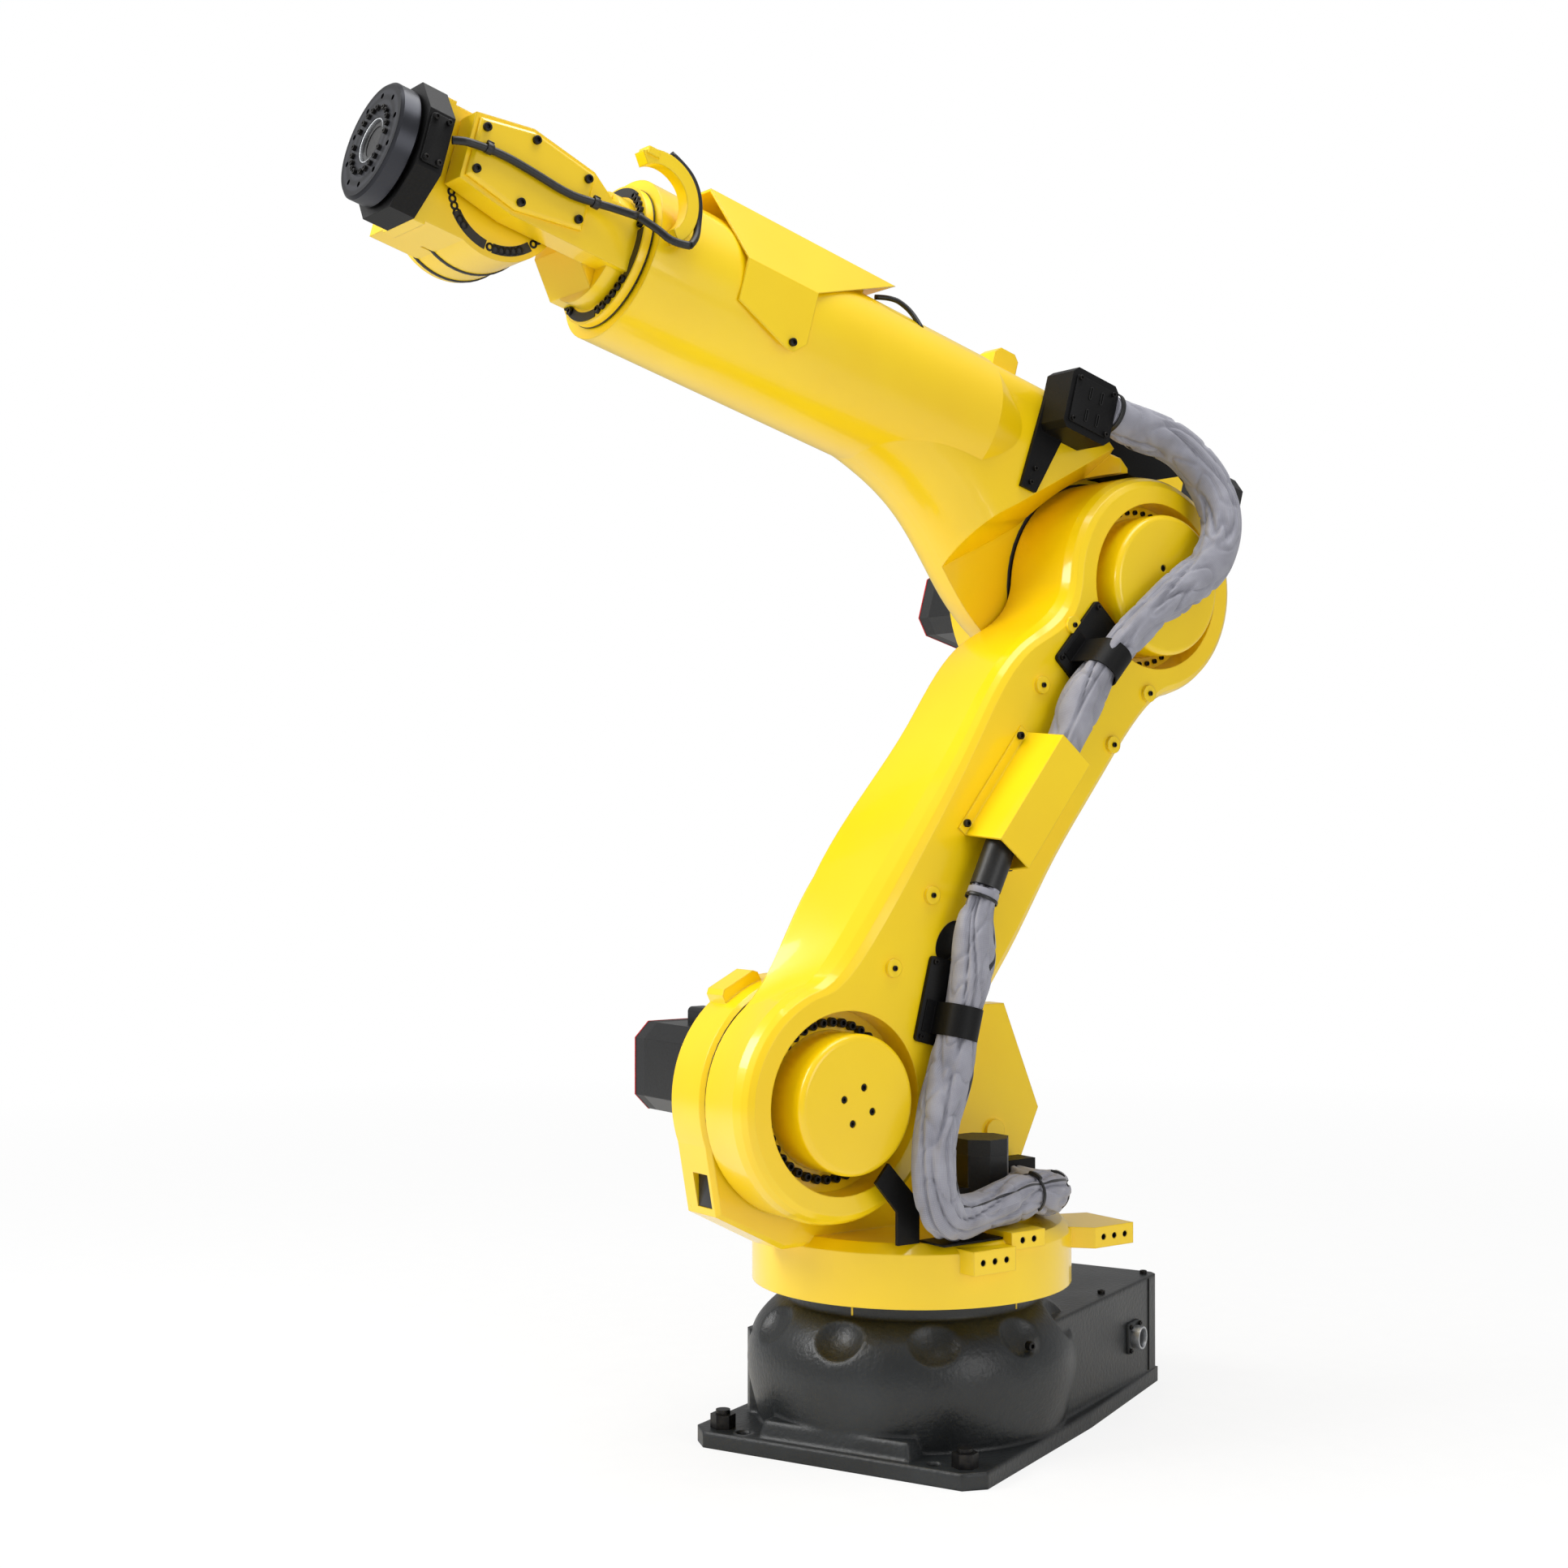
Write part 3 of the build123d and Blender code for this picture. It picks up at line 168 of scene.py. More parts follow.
# %% A tube of cloth round a line
def cloth_tube(name, line, radius, sides, creases):
    """A closed mesh tube. Its UV map is the flat cloth: U round it and V along it, in metres."""
    side = Vector((0, 0, 1)).cross(line[1] - line[0]).normalized()
    rings, walked = [], 0
    for index, point in enumerate(line):
        ahead_point = line[min(index + 1, len(line) - 1)]
        behind_point = line[max(index - 1, 0)]
        heading = (ahead_point - behind_point).normalized()
        side = (side - heading * side.dot(heading)).normalized()
        over = heading.cross(side)
        walked += (point - behind_point).length if index else 0
        ring = []
        for step in range(sides):
            turn = 2 * pi * step / sides
            spoke = side * cos(turn) + over * sin(turn)
            ring.append(point + spoke * (radius + creases(turn, walked)))
        rings.append((ring, walked))
    shape = bmesh.new()
    flat = shape.loops.layers.uv.new("cloth")
    rows = [[shape.verts.new(spot) for spot in ring] for ring, walked in rings]
    for row, after, (_, low), (_, high) in zip(rows, rows[1:], rings, rings[1:]):
        for step in range(sides):
            other = (step + 1) % sides
            face = shape.faces.new((row[step], row[other], after[other], after[step]))
            spans = ((step, low), (step + 1, low), (step + 1, high), (step, high))
            for loop, (share, distance) in zip(face.loops, spans):
                loop[flat].uv = (2 * pi * radius * share / sides, distance)
            face.smooth = True
    shape.faces.new(rows[0][::-1])
    shape.faces.new(rows[-1])
    bmesh.ops.recalc_face_normals(shape, faces=shape.faces)
    mesh = bpy.data.meshes.new(name)
    shape.to_mesh(mesh)
    shape.free()
    piece = bpy.data.objects.new(name, mesh)
    bpy.context.scene.collection.objects.link(piece)
    print(name, "length", round(line_length(line), 3), "faces", len(mesh.polygons))
    return piece


def round_noise(turn, size, along, shift=0):
    """Noise that closes on itself round a tube."""
    return noise.noise(Vector((cos(turn) * size + shift, sin(turn) * size, along)))


def sleeve_creases(turn, walked):
    """Long sharp folds that twist along a sleeve, on broad soft dents, in metres."""
    slack, fold_depth, cross_depth, dent_depth = 0.004, 0.010, 0.004, 0.008
    fold_width, cross_width = 0.09, 0.07
    fold = round_noise(turn + walked * 1.5, 1.5, walked * 4.5)
    cross = round_noise(turn, 1.1, walked * 13, shift=7)
    dent = round_noise(turn, 0.8, walked * 9, shift=3)
    folded = slack - fold_depth * exp(-(fold / fold_width) ** 2)
    return folded - cross_depth * exp(-(cross / cross_width) ** 2) + dent_depth * dent


def no_creases(turn, walked):
    """A smooth tube."""
    return 0


def gathered(*pinches):
    """Creases of a sleeve that is drawn in: each pinch has a place along it, a depth and a spread."""
    def creases(turn, walked):
        drawn = sum(depth * exp(-((walked - place) / spread) ** 2) for place, depth, spread in pinches)
        return sleeve_creases(turn, walked) - drawn

    return creases


def distance_to(line, spot):
    """How far along a line its point nearest to a spot lies, in metres."""
    nearest = min(range(len(line)), key=lambda index: (line[index] - spot).length)
    return line_length(line[:nearest + 1])


# %% Routes of the two sleeves
sleeve_radius, sleeve_sides = 0.038, 72
tail_points = route(
    turntable, (-216, 66.5, 454), (-216, 128, 454), (-195, 190, 460), (-140, 238, 472), (-70, 256, 480),
    (0, 260, 468.5), (54.5, 268, 461), (110, 276, 453.4), (163, 290, 462),
)
climb_points = route(
    lower, (-39.3, -198.4, 290), (21.5, -162.4, 276), (90.9, -145, 258), (152, -133, 250),
    (213.5, -109, 246), (276.5, -81, 246), (342, -52, 246), (392, -20, 246), (430, 3, 246), (478, 14, 246),
)
lower_line = spline_line(tail_points + climb_points, steps=18)
lower_reach, lower_strap = line_length(lower_line), distance_to(lower_line, climb_points[5])
tail_ties = (0.16, 0.26)
lower_folds = gathered(
    (tail_ties[0], 0.007, 0.02), (tail_ties[1], 0.007, 0.02),
    (lower_strap, 0.008, 0.07), (lower_reach, 0.013, 0.07),
)
lower_sleeve = cloth_tube("lower_sleeve", lower_line, sleeve_radius, sleeve_sides, lower_folds)

cover_points = route(
    lower, (760, 30, 246), (815, 30, 246), (871, 38, 246), (930, 49, 249), (976, 53, 256),
    (1029.5, 50, 264), (1089, 46, 273),
)
clamp_points = route(
    elbow, (-60, 52, 281), (14, -20, 285), (85, -64, 284), (165, -74, 268), (238, -40, 240),
    (292, 28, 210), (300, 118, 172), (300, 199, 172),
)
upper_line = spline_line(cover_points + clamp_points, steps=20)
upper_reach, upper_strap = line_length(upper_line), distance_to(upper_line, cover_points[5])
upper_folds = gathered((0.06, 0.007, 0.06), (upper_strap, 0.009, 0.09), (upper_reach, 0.004, 0.04))
upper_sleeve = cloth_tube("upper_sleeve", upper_line, sleeve_radius, sleeve_sides, upper_folds)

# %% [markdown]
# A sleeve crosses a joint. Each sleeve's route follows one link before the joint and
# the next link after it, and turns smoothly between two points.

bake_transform(lower_sleeve)
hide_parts("tail_hose", "shoulder_hose", "arm_hose_low")
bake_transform(upper_sleeve)
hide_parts("arm_hose_high", "elbow_hose")

# %% [markdown]
# ## Wrist cable
# A thin black rubber cable runs from the tool case over the wrist cover to the hook. It crosses two
# joints, so it is made in two lengths that meet at the clip, each laid in the frame of one link.

# %% Wrist cable in two lengths
cable_radius, cable_sides, cable_steps = 0.007, 16, 8
front_points = route(
    bend, (16, 138.2, 108), (18, 127, 117), (20, 115.8, 121.8), (28, 55, 122), (24, -12, 122),
    (17, -80, 122), (24, -130, 123), (28, -168, 132), (26, -205, 150),
)
front_line = spline_line(front_points, cable_steps)
front_cable = cloth_tube("front_cable", front_line, cable_radius, cable_sides, no_creases)
rear_points = front_points[-1:] + route(elbow, (214, 1270, 168), (196, 1242, 183), (203, 1212, 189))
rear_line = spline_line(rear_points, cable_steps)
rear_cable = cloth_tube("rear_cable", rear_line, cable_radius, cable_sides, no_creases)
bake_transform(front_cable)
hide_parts("tool_cable", "wrist_cable")
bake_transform(rear_cable)
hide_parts("roll_cable")

# %% [markdown]
# ## Finishes
# Every finish is a small tree of nodes. It starts from what the real surface is and how it was made,
# and its pattern has a size in millimetres. One function adds a node, sets it and links it, and a few
# short ones make what most finishes share: a noise, a ramp of colours and a bumped skin.

# %% Helpers for materials
def hex_colour(code):
    """An sRGB hex colour as linear red, green, blue and alpha."""
    values = [int(code[place:place + 2], 16) / 255 for place in (1, 3, 5)]
    return [v / 12.92 if v <= 0.04045 else ((v + 0.055) / 1.055) ** 2.4 for v in values] + [1]


def feed(tree, node, inputs):
    """Set a node's inputs, each to a value or to a socket that is linked to it."""
    for key, value in inputs.items():
        if isinstance(value, bpy.types.NodeSocket):
            tree.links.new(value, node.inputs[key])
        else:
            node.inputs[key].default_value = value


def add(tree, kind, inputs, **settings):
    """Add a node: settings are its own choices, and inputs are values or sockets to link."""
    node = tree.nodes.new(kind)
    for key, value in settings.items():
        setattr(node, key, value)
    feed(tree, node, inputs)
    return node


def new_look(name, uv_map=None):
    """An empty node material with its tree, shader and coordinates: the object's, or a UV map's."""
    material = bpy.data.materials.new(name)
    material.use_nodes = True
    tree = material.node_tree
    if uv_map:
        spot = add(tree, "ShaderNodeUVMap", {}, uv_map=uv_map).outputs["UV"]
    else:
        spot = add(tree, "ShaderNodeTexCoord", {}).outputs["Object"]
    return SimpleNamespace(material=material, tree=tree, spot=spot, shader=tree.nodes["Principled BSDF"])


def paint(look, inputs):
    """Feed a look's shader, and give the finished material."""
    feed(look.tree, look.shader, inputs)
    return look.material


def per_size(millimetres):
    """Scale of a pattern that repeats about once in that length."""
    return 1000 / millimetres


def speckle(look, size, detail):
    """Noise in patches of a size in millimetres."""
    inputs = {"Vector": look.spot, "Scale": per_size(size), "Detail": detail}
    return add(look.tree, "ShaderNodeTexNoise", inputs).outputs["Fac"]


def ramp(look, pattern, *stops):
    """A pattern's colours, by stops that are each a place from 0 to 1 and a hex colour."""
    node = add(look.tree, "ShaderNodeValToRGB", {"Fac": pattern})
    while len(node.color_ramp.elements) < len(stops):
        node.color_ramp.elements.new(0.5)
    for stop, (place, code) in zip(node.color_ramp.elements, stops):
        stop.position = place
        stop.color = hex_colour(code)
    return node.outputs["Color"]


def between(look, pattern, low, high):
    """A value that follows a pattern from low to high."""
    limits = {"Value": pattern, "To Min": low, "To Max": high}
    return add(look.tree, "ShaderNodeMapRange", limits).outputs["Result"]


def bump(look, height, strength, depth, edge=0, samples=4):
    """A skin with a pattern's height. An edge is the radius, in metres, that rounds its light."""
    inputs = {"Height": height, "Strength": strength, "Distance": depth}
    if edge:
        rounded = add(look.tree, "ShaderNodeBevel", {"Radius": edge}, samples=samples)
        inputs["Normal"] = rounded.outputs["Normal"]
    return add(look.tree, "ShaderNodeBump", inputs).outputs["Normal"]


# %% [markdown]
# The castings wear a two-pack polyurethane enamel. It is sprayed thick, so it flows round every edge and
# dries glossy with a faint orange peel. A bevel node rounds the light on sharp edges, as the coat does.

# %% Yellow enamel
# Glossy warm yellow: a broad soft sheen, rounded light on the edges, a slight peel in the highlights.
look = new_look("yellow_enamel")
peel, handled = speckle(look, size=7, detail=1.0), speckle(look, size=90, detail=5.0)
yellow_enamel = paint(look, {
    "Base Color": ramp(look, speckle(look, size=380, detail=3.0), (0.3, "#F8CE00"), (0.7, "#FFDA00")),
    "Normal": bump(look, peel, strength=0.05, depth=0.002, edge=0.004, samples=6),
    "Roughness": between(look, handled, 0.24, 0.38),
    "Coat Weight": 0.5,
    "Coat Roughness": 0.07,
})
print("made", yellow_enamel.name)

# %% [markdown]
# The base is grey iron, cast in sand and sprayed satin black. The sand leaves a pebbled skin under the
# paint, and dust turns it greyer and duller in patches.

# %% Black cast iron
# Dark satin with a pebbled skin that breaks the highlights up.
look = new_look("black_cast_iron")
cloud, sand = speckle(look, size=140, detail=4.0), speckle(look, size=9, detail=4.0)
black_iron = paint(look, {
    "Base Color": ramp(look, cloud, (0.3, "#141617"), (0.72, "#272A2C")),
    "Normal": bump(look, sand, strength=0.28, depth=0.004, edge=0.014, samples=8),
    "Roughness": between(look, cloud, 0.28, 0.5),
})
print("made", black_iron.name)

# %% [markdown]
# The saddles, the clamp, the tray and the strip are bent sheet steel with a black powder coat, which
# is baked on and dries with a fine even texture.

# %% Black powder coat
# Deep black with a fine grain and a weak, wide sheen.
look = new_look("black_powder_coat")
grain = speckle(look, size=3, detail=2.0)
black_powder = paint(look, {
    "Base Color": ramp(look, grain, (0.35, "#050506"), (0.7, "#0D0D0E")),
    "Normal": bump(look, grain, strength=0.18, depth=0.001, edge=0.002),
    "Roughness": 0.5,
    "Specular IOR Level": 0.22,
})
print("made", black_powder.name)

# %% [markdown]
# A servo motor is a die-cast aluminium body under black stove enamel. Its end cap is moulded from
# glass-filled nylon, which is duller.

# %% Motor finishes
# Body: even satin black with a faint cast grain. Cap: duller charcoal with a moulded speckle.
look = new_look("motor_stove_enamel")
grain = speckle(look, size=5, detail=3.0)
motor_enamel = paint(look, {
    "Base Color": ramp(look, grain, (0.3, "#0A0A0B"), (0.75, "#17181A")),
    "Normal": bump(look, grain, strength=0.12, depth=0.001, edge=0.003),
    "Roughness": 0.36,
})
look = new_look("cap_glass_nylon")
grains = add(look.tree, "ShaderNodeTexVoronoi", {"Vector": look.spot, "Scale": per_size(2.5)})
speck = grains.outputs["Distance"]
cap_nylon = paint(look, {
    "Base Color": ramp(look, speck, (0.1, "#101112"), (0.8, "#1D1E20")),
    "Normal": bump(look, speck, strength=0.1, depth=0.001),
    "Roughness": 0.55,
})
print("made", motor_enamel.name, cap_nylon.name)

# %% [markdown]
# The sleeves are sewn from coated polyester cloth. Its threads are half a millimetre apart, too fine
# for the picture, so the weave is drawn at 1.2 mm. It follows the cloth's own flat map.

# %% Sleeve cloth
# Cool grey with a dull sheen, a little stained, a zip line down its side.
look = new_look("woven_polyester", uv_map="cloth")
thread_scale = per_size(1.2) / 20 * pi
warp, weft = [
    add(look.tree, "ShaderNodeTexWave", {"Vector": look.spot, "Scale": thread_scale}, bands_direction=way)
    for way in ("X", "Y")
]
weave = add(look.tree, "ShaderNodeMath", {0: warp.outputs["Fac"], 1: weft.outputs["Fac"]},
            operation="MULTIPLY")
weave_share, zip_place, zip_half = 0.3, 0.02, 0.0022
shade = add(look.tree, "ShaderNodeMath",
            {0: weave.outputs["Value"], 1: weave_share, 2: speckle(look, size=55, detail=5.0)},
            operation="MULTIPLY_ADD").outputs["Value"]
thread = ramp(look, shade, (0.3, "#7D7D87"), (0.55, "#90909B"), (0.85, "#A0A0AA"))
across = add(look.tree, "ShaderNodeSeparateXYZ", {"Vector": look.spot})
zip_near = add(look.tree, "ShaderNodeMath", {0: across.outputs["X"], 1: zip_place, 2: zip_half},
               operation="COMPARE")
zipped = add(look.tree, "ShaderNodeMix",
             {"Factor": zip_near.outputs["Value"], 6: thread, 7: hex_colour("#26262B")}, data_type="RGBA")
sleeve_cloth = paint(look, {
    "Base Color": zipped.outputs[2],
    "Normal": bump(look, shade, strength=0.35, depth=0.003),
    "Roughness": 0.62,
    "Sheen Weight": 0.25,
})
print("made", sleeve_cloth.name)

# %% [markdown]
# Cables and ties are black rubber and nylon. Screws are steel, blackened in a hot bath, and the tool
# flange is turned from steel and phosphated dark grey, so its face keeps fine rings from the lathe.

# %% Rubber, blackened steel and turned steel
# Rubber: soft black with a faint mould grain.
look = new_look("black_rubber")
grain = speckle(look, size=4, detail=2.0)
black_rubber = paint(look, {
    "Base Color": ramp(look, grain, (0.3, "#0C0C0D"), (0.7, "#191919")),
    "Normal": bump(look, grain, strength=0.1, depth=0.001),
    "Roughness": 0.42,
})
# Blackened steel: dark metal with patches that the bath left browner.
look = new_look("blackened_steel")
black_steel = paint(look, {
    "Base Color": ramp(look, speckle(look, size=12, detail=3.0), (0.3, "#1B1B1D"), (0.75, "#343230")),
    "Metallic": 0.8,
    "Roughness": 0.4,
})
# Phosphated steel: dark grey metal with lathe rings about the tool axis, drawn at 3 mm to show.
look = new_look("phosphated_steel")
axis_turn = (bend.to_3x3() @ Matrix.Rotation(radians(90), 3, "X")).inverted().to_euler()
centred = add(look.tree, "ShaderNodeVectorMath", {0: look.spot, 1: tuple(-bend.translation)}, operation="ADD")
squared = add(look.tree, "ShaderNodeMapping", {"Vector": centred.outputs["Vector"], "Rotation": axis_turn})
rings = add(look.tree, "ShaderNodeTexWave", {"Vector": squared.outputs["Vector"], "Scale": per_size(3) / 20},
            wave_type="RINGS", rings_direction="Z").outputs["Fac"]
flange_steel = paint(look, {
    "Base Color": ramp(look, rings, (0.2, "#2B2C2F"), (0.8, "#3C3D42")),
    "Normal": bump(look, rings, strength=0.08, depth=0.001),
    "Metallic": 0.9,
    "Roughness": 0.34,
})
print("made", black_rubber.name, black_steel.name, flange_steel.name)

# %% Give every solid part its finish
finish_nodes = {
    yellow_enamel: ["turntable_casting", "shoulder_hub", "lower_arm_casting", "hose_cover",
                    "upper_arm_casting", "elbow_hub", "top_cover", "cable_hook", "wrist_casting",
                    "wrist_cover", "bend_casting"],
    black_iron: ["base_casting", "connector_panel"],
    black_powder: ["hose_tray", "hose_strip", "hose_inlet", "lower_saddle", "upper_saddle",
                   "clamp_block", "hose_guide", "tool_case"],
    motor_enamel: ["shoulder_motor", "swing_motor", "elbow_motor", "roll_motor", "bend_motor",
                   "tool_motor"],
    cap_nylon: ["shoulder_motor_cap", "swing_motor_cap", "elbow_motor_cap", "roll_motor_cap",
                "bend_motor_cap", "tool_motor_cap"],
    sleeve_cloth: ["tail_hose", "shoulder_hose", "arm_hose_low", "arm_hose_high", "elbow_hose"],
    black_rubber: ["wrist_cable", "roll_cable", "tool_cable", "hose_cuff"],
    black_steel: ["anchor_studs"],
    flange_steel: ["tool_flange"],
}
for finish, names in finish_nodes.items():
    for name in names:
        nodes[name].data.materials.clear()
        nodes[name].data.materials.append(finish)
for sleeve in (lower_sleeve, upper_sleeve):
    sleeve.data.materials.append(sleeve_cloth)
for cable in (front_cable, rear_cable):
    cable.data.materials.append(black_rubber)
print("finished nodes:", sum(len(names) for names in finish_nodes.values()), "of", len(nodes))

# %% [markdown]
# ## Screws
# Dozens of blackened socket screws hold the covers and the gear units. Each could be a plain disc, but
# the dark socket in the head is what the eye reads as a screw. One head is modelled: the top of a
# cylinder is inset to a chamfer, inset again and sunk. Copies are then set on each piece.

# %% Helpers for modelling
def pick(kind, test):
    """Select only the faces or the edges that pass a test, in edit mode."""
    mesh = bpy.context.object.data
    shape = bmesh.from_edit_mesh(mesh)
    bpy.ops.mesh.select_mode(type=kind)
    for item in shape.faces if kind == "FACE" else shape.edges:
        item.select_set(bool(test(item)))
    bmesh.update_edit_mesh(mesh)


def upward(face):
    """Whether a face looks up."""
    return face.normal.z > 0.9


def extrude(*step):
    """Draw out what is selected by a step in millimetres."""
    bpy.ops.mesh.extrude_region_move(TRANSFORM_OT_translate={"value": [part / 1000 for part in step]})


def settle(piece, name, place, body, finish):
    """Name a modelled piece, move its mesh to its place, and give it a finish and a body to ride on."""
    bpy.ops.object.mode_set(mode="OBJECT")
    bpy.ops.object.transform_apply(location=True, rotation=True, scale=True)
    bpy.ops.object.shade_smooth_by_angle(angle=radians(35))
    piece.name = piece.data.name = name
    piece.data.transform(place)
    piece.data.materials.clear()
    piece.data.materials.append(finish)
    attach(piece, body)
    print(name, "faces", len(piece.data.polygons), "rides", body)
    return piece


def set_on(link, *point):
    """A place moved along its own axes, in millimetres. On a link, its Z points to the near side."""
    return link @ Matrix.Translation(Vector(point) / 1000)


facing_forward = Matrix.Rotation(radians(-90), 4, "X")
facing_far = Matrix.Rotation(radians(180), 4, "X")


def ring_places(middle, radius, count, start=0, end=360):
    """Places on a circle about a place's own Z, in millimetres and degrees."""
    gaps = count if end - start == 360 else count - 1
    turns = [radians(start + (end - start) * step / gaps) for step in range(count)]
    return [set_on(middle @ Matrix.Rotation(turn, 4, "Z"), radius, 0, 0) for turn in turns]


def corner_places(middle, x, y, z):
    """Places at the four corners of a plate about its middle, in millimetres."""
    return [set_on(middle, end * x, side * y, z) for end in (-1, 1) for side in (-1, 1)]


def spread(model, name, places, body, finish):
    """Copy a model to each place, each with its own mesh, and join the copies to one piece."""
    copies = []
    for place in places:
        twin = model.copy()
        twin.data = model.data.copy()
        twin.data.transform(place)
        bpy.context.scene.collection.objects.link(twin)
        copies.append(twin)
    bpy.ops.object.select_all(action="DESELECT")
    for twin in copies:
        twin.select_set(True)
    bpy.context.view_layer.objects.active = copies[0]
    if len(copies) > 1:
        bpy.ops.object.join()
    return settle(copies[0], name, Matrix.Identity(4), body, finish)


# %% One socket screw head
def model_screw(radius, height):
    """A socket screw's head, standing on its Z, in millimetres."""
    rim, slope, wall, socket = radius * 0.14, height * 0.12, radius * 0.34, height * 0.6
    bpy.ops.object.select_all(action="DESELECT")
    bpy.ops.mesh.primitive_cylinder_add(vertices=18, radius=radius / 1000, depth=height / 1000,
                                        location=(0, 0, height / 2000))
    screw = bpy.context.object
    bpy.ops.object.mode_set(mode="EDIT")
    pick("FACE", upward)
    bpy.ops.mesh.inset(thickness=rim / 1000, depth=slope / 1000)
    bpy.ops.mesh.inset(thickness=wall / 1000, depth=0)
    extrude(0, 0, -socket)
    bpy.ops.object.mode_set(mode="OBJECT")
    bpy.ops.object.transform_apply(location=True)
    return screw


small_screw, cap_screw = model_screw(5, 5), model_screw(6.4, 6)
cover_screw, ring_screw = model_screw(7.5, 6), model_screw(8.5, 11)
print("screw head faces:", len(ring_screw.data.polygons))

# %% Screws round the shoulder and the elbow
shoulder_floor = set_on(lower, 0, 0, 142)
spread(ring_screw, "shoulder_ring_screws", ring_places(shoulder_floor, 142, 40), "lower_arm", black_steel)
elbow_floor = set_on(lower, lower_length, 0, 142)
spread(small_screw, "elbow_ring_screws", ring_places(elbow_floor, 153, 44), "lower_arm", black_steel)
cap_turned = set_on(shoulder, 0, 0, 228) @ Matrix.Rotation(radians(-22), 4, "Z")
spread(cap_screw, "shoulder_cap_screws", ring_places(cap_turned, 34, 4), "turntable", black_steel)
spread(cap_screw, "elbow_cap_screw", [set_on(elbow, 27, 23, 225)], "upper_arm", black_steel)

# %% Screws of the sheet covers and the wrist
wrist_spots = ((62, 88), (82, -4), (62, -114), (-13, -114), (-32, -4), (-13, 88))
spread(cover_screw, "wrist_cover_screws", [set_on(bend, u, f, 114) for u, f in wrist_spots],
       "wrist_roll", black_steel)
hose_cover_spots = ((566, 97), (779, 97), (566, -37), (779, -37))
spread(cover_screw, "hose_cover_screws", [set_on(lower, a, c, 204.3) for a, c in hose_cover_spots],
       "lower_arm", black_steel)
flap_places = [set_on(elbow, 142, 943, 154.3), set_on(elbow, 142, 943, -154.3) @ facing_far]
spread(cover_screw, "flap_screws", flap_places, "upper_arm", black_steel)
boss_spots = ((1036, 124), (892, 113), (1065, -114), (922, -102), (411, 78), (252, 67))
spread(small_screw, "boss_plugs", [set_on(lower, a, c, 205.5) for a, c in boss_spots],
       "lower_arm", black_steel)

# %% [markdown]
# The screws of the wrist joints stand in dark arc-shaped slots. A slot's floor is a small face spun about
# the joint's axis, and the screws are set along it in groups.

# %% Slots and screws of the wrist joints
def model_arc(radius, width, thickness, sweep):
    """A flat curved bar about its Z, in millimetres and degrees."""
    bpy.ops.object.select_all(action="DESELECT")
    bpy.ops.mesh.primitive_plane_add(size=1)
    bar = bpy.context.object
    bar.rotation_euler = (radians(90), 0, 0)
    bar.scale = (width / 1000, thickness / 1000, 1)
    bar.location = (radius / 1000, 0, thickness / 2000)
    bpy.ops.object.transform_apply(location=True, rotation=True, scale=True)
    bpy.ops.object.mode_set(mode="EDIT")
    bpy.ops.mesh.select_all(action="SELECT")
    bpy.ops.mesh.spin(steps=max(4, round(sweep / 5)), angle=radians(sweep), center=(0, 0, 0), axis=(0, 0, 1))
    bpy.ops.mesh.select_all(action="SELECT")
    bpy.ops.mesh.remove_doubles(threshold=0.00001)
    pick("EDGE", lambda edge: edge.is_boundary)
    bpy.ops.mesh.edge_face_add()
    bpy.ops.mesh.select_all(action="SELECT")
    bpy.ops.mesh.normals_make_consistent(inside=False)
    bpy.ops.object.mode_set(mode="OBJECT")
    return bar


roll_face = set_on(bend, 0, -235, 0) @ facing_forward
bend_face = set_on(bend, 0, 0, 43)
joint_slots = [("roll_slot", roll_face, 117, 48, start, "wrist_roll") for start in (12, 102, 192, 282)]
joint_slots += [("bend_slot", bend_face, 98, 44, start, "wrist_bend") for start in (108, 176, 228)]
slot_width, slot_thickness, slot_screws, slot_margin = 17, 1.5, 6, 5
screw_level = {"wrist_roll": 0, "wrist_bend": -4}
for index, (name, face, radius, sweep, start, body) in enumerate(joint_slots):
    turned = face @ Matrix.Rotation(radians(start), 4, "Z")
    arc = model_arc(radius, slot_width, slot_thickness, sweep)
    settle(arc, f"{name}_{index + 1}", turned, body, black_rubber)
    sunk = set_on(turned, 0, 0, screw_level[body])
    places = ring_places(sunk, radius, slot_screws, slot_margin, sweep - slot_margin)
    spread(cover_screw, f"{name}_screws_{index + 1}", places, body, black_steel)

# %% [markdown]
# ## Bands, ties and seals
# A cloth band and nylon ties gather the sleeves, a rubber ring closes the clamp, and rubber seals fill
# the grooves of the wrist drum. All are closed strips, so one open cylinder is made at its size and
# given a wall by Solidify and soft rims by Bevel. A tie also gets its square head, which is extruded
# from a few faces of the strip.

# %% One band
def model_band(radius, width, wall, head=0):
    """A closed strip about its Z, in millimetres. A head is a block that stands out of it."""
    bpy.ops.object.select_all(action="DESELECT")
    bpy.ops.mesh.primitive_cylinder_add(vertices=48, radius=radius / 1000, depth=width / 1000,
                                        end_fill_type="NOTHING")
    band = bpy.context.object
    walls = band.modifiers.new("wall", "SOLIDIFY")
    walls.thickness = wall / 1000
    walls.offset = 1
    bpy.ops.object.modifier_apply(modifier="wall")
    if head:
        bpy.ops.object.mode_set(mode="EDIT")
        front = radius * 0.985 / 1000
        pick("FACE", lambda face: face.calc_center_median().x > front and face.normal.x > 0.9)
        extrude(head, 0, 0)
        bpy.ops.object.mode_set(mode="OBJECT")
    rim = band.modifiers.new("rim", "BEVEL")
    rim.width = min(wall, width) * 0.25 / 1000
    rim.segments = 2
    rim.limit_method = "ANGLE"
    bpy.ops.object.modifier_apply(modifier="rim")
    return band


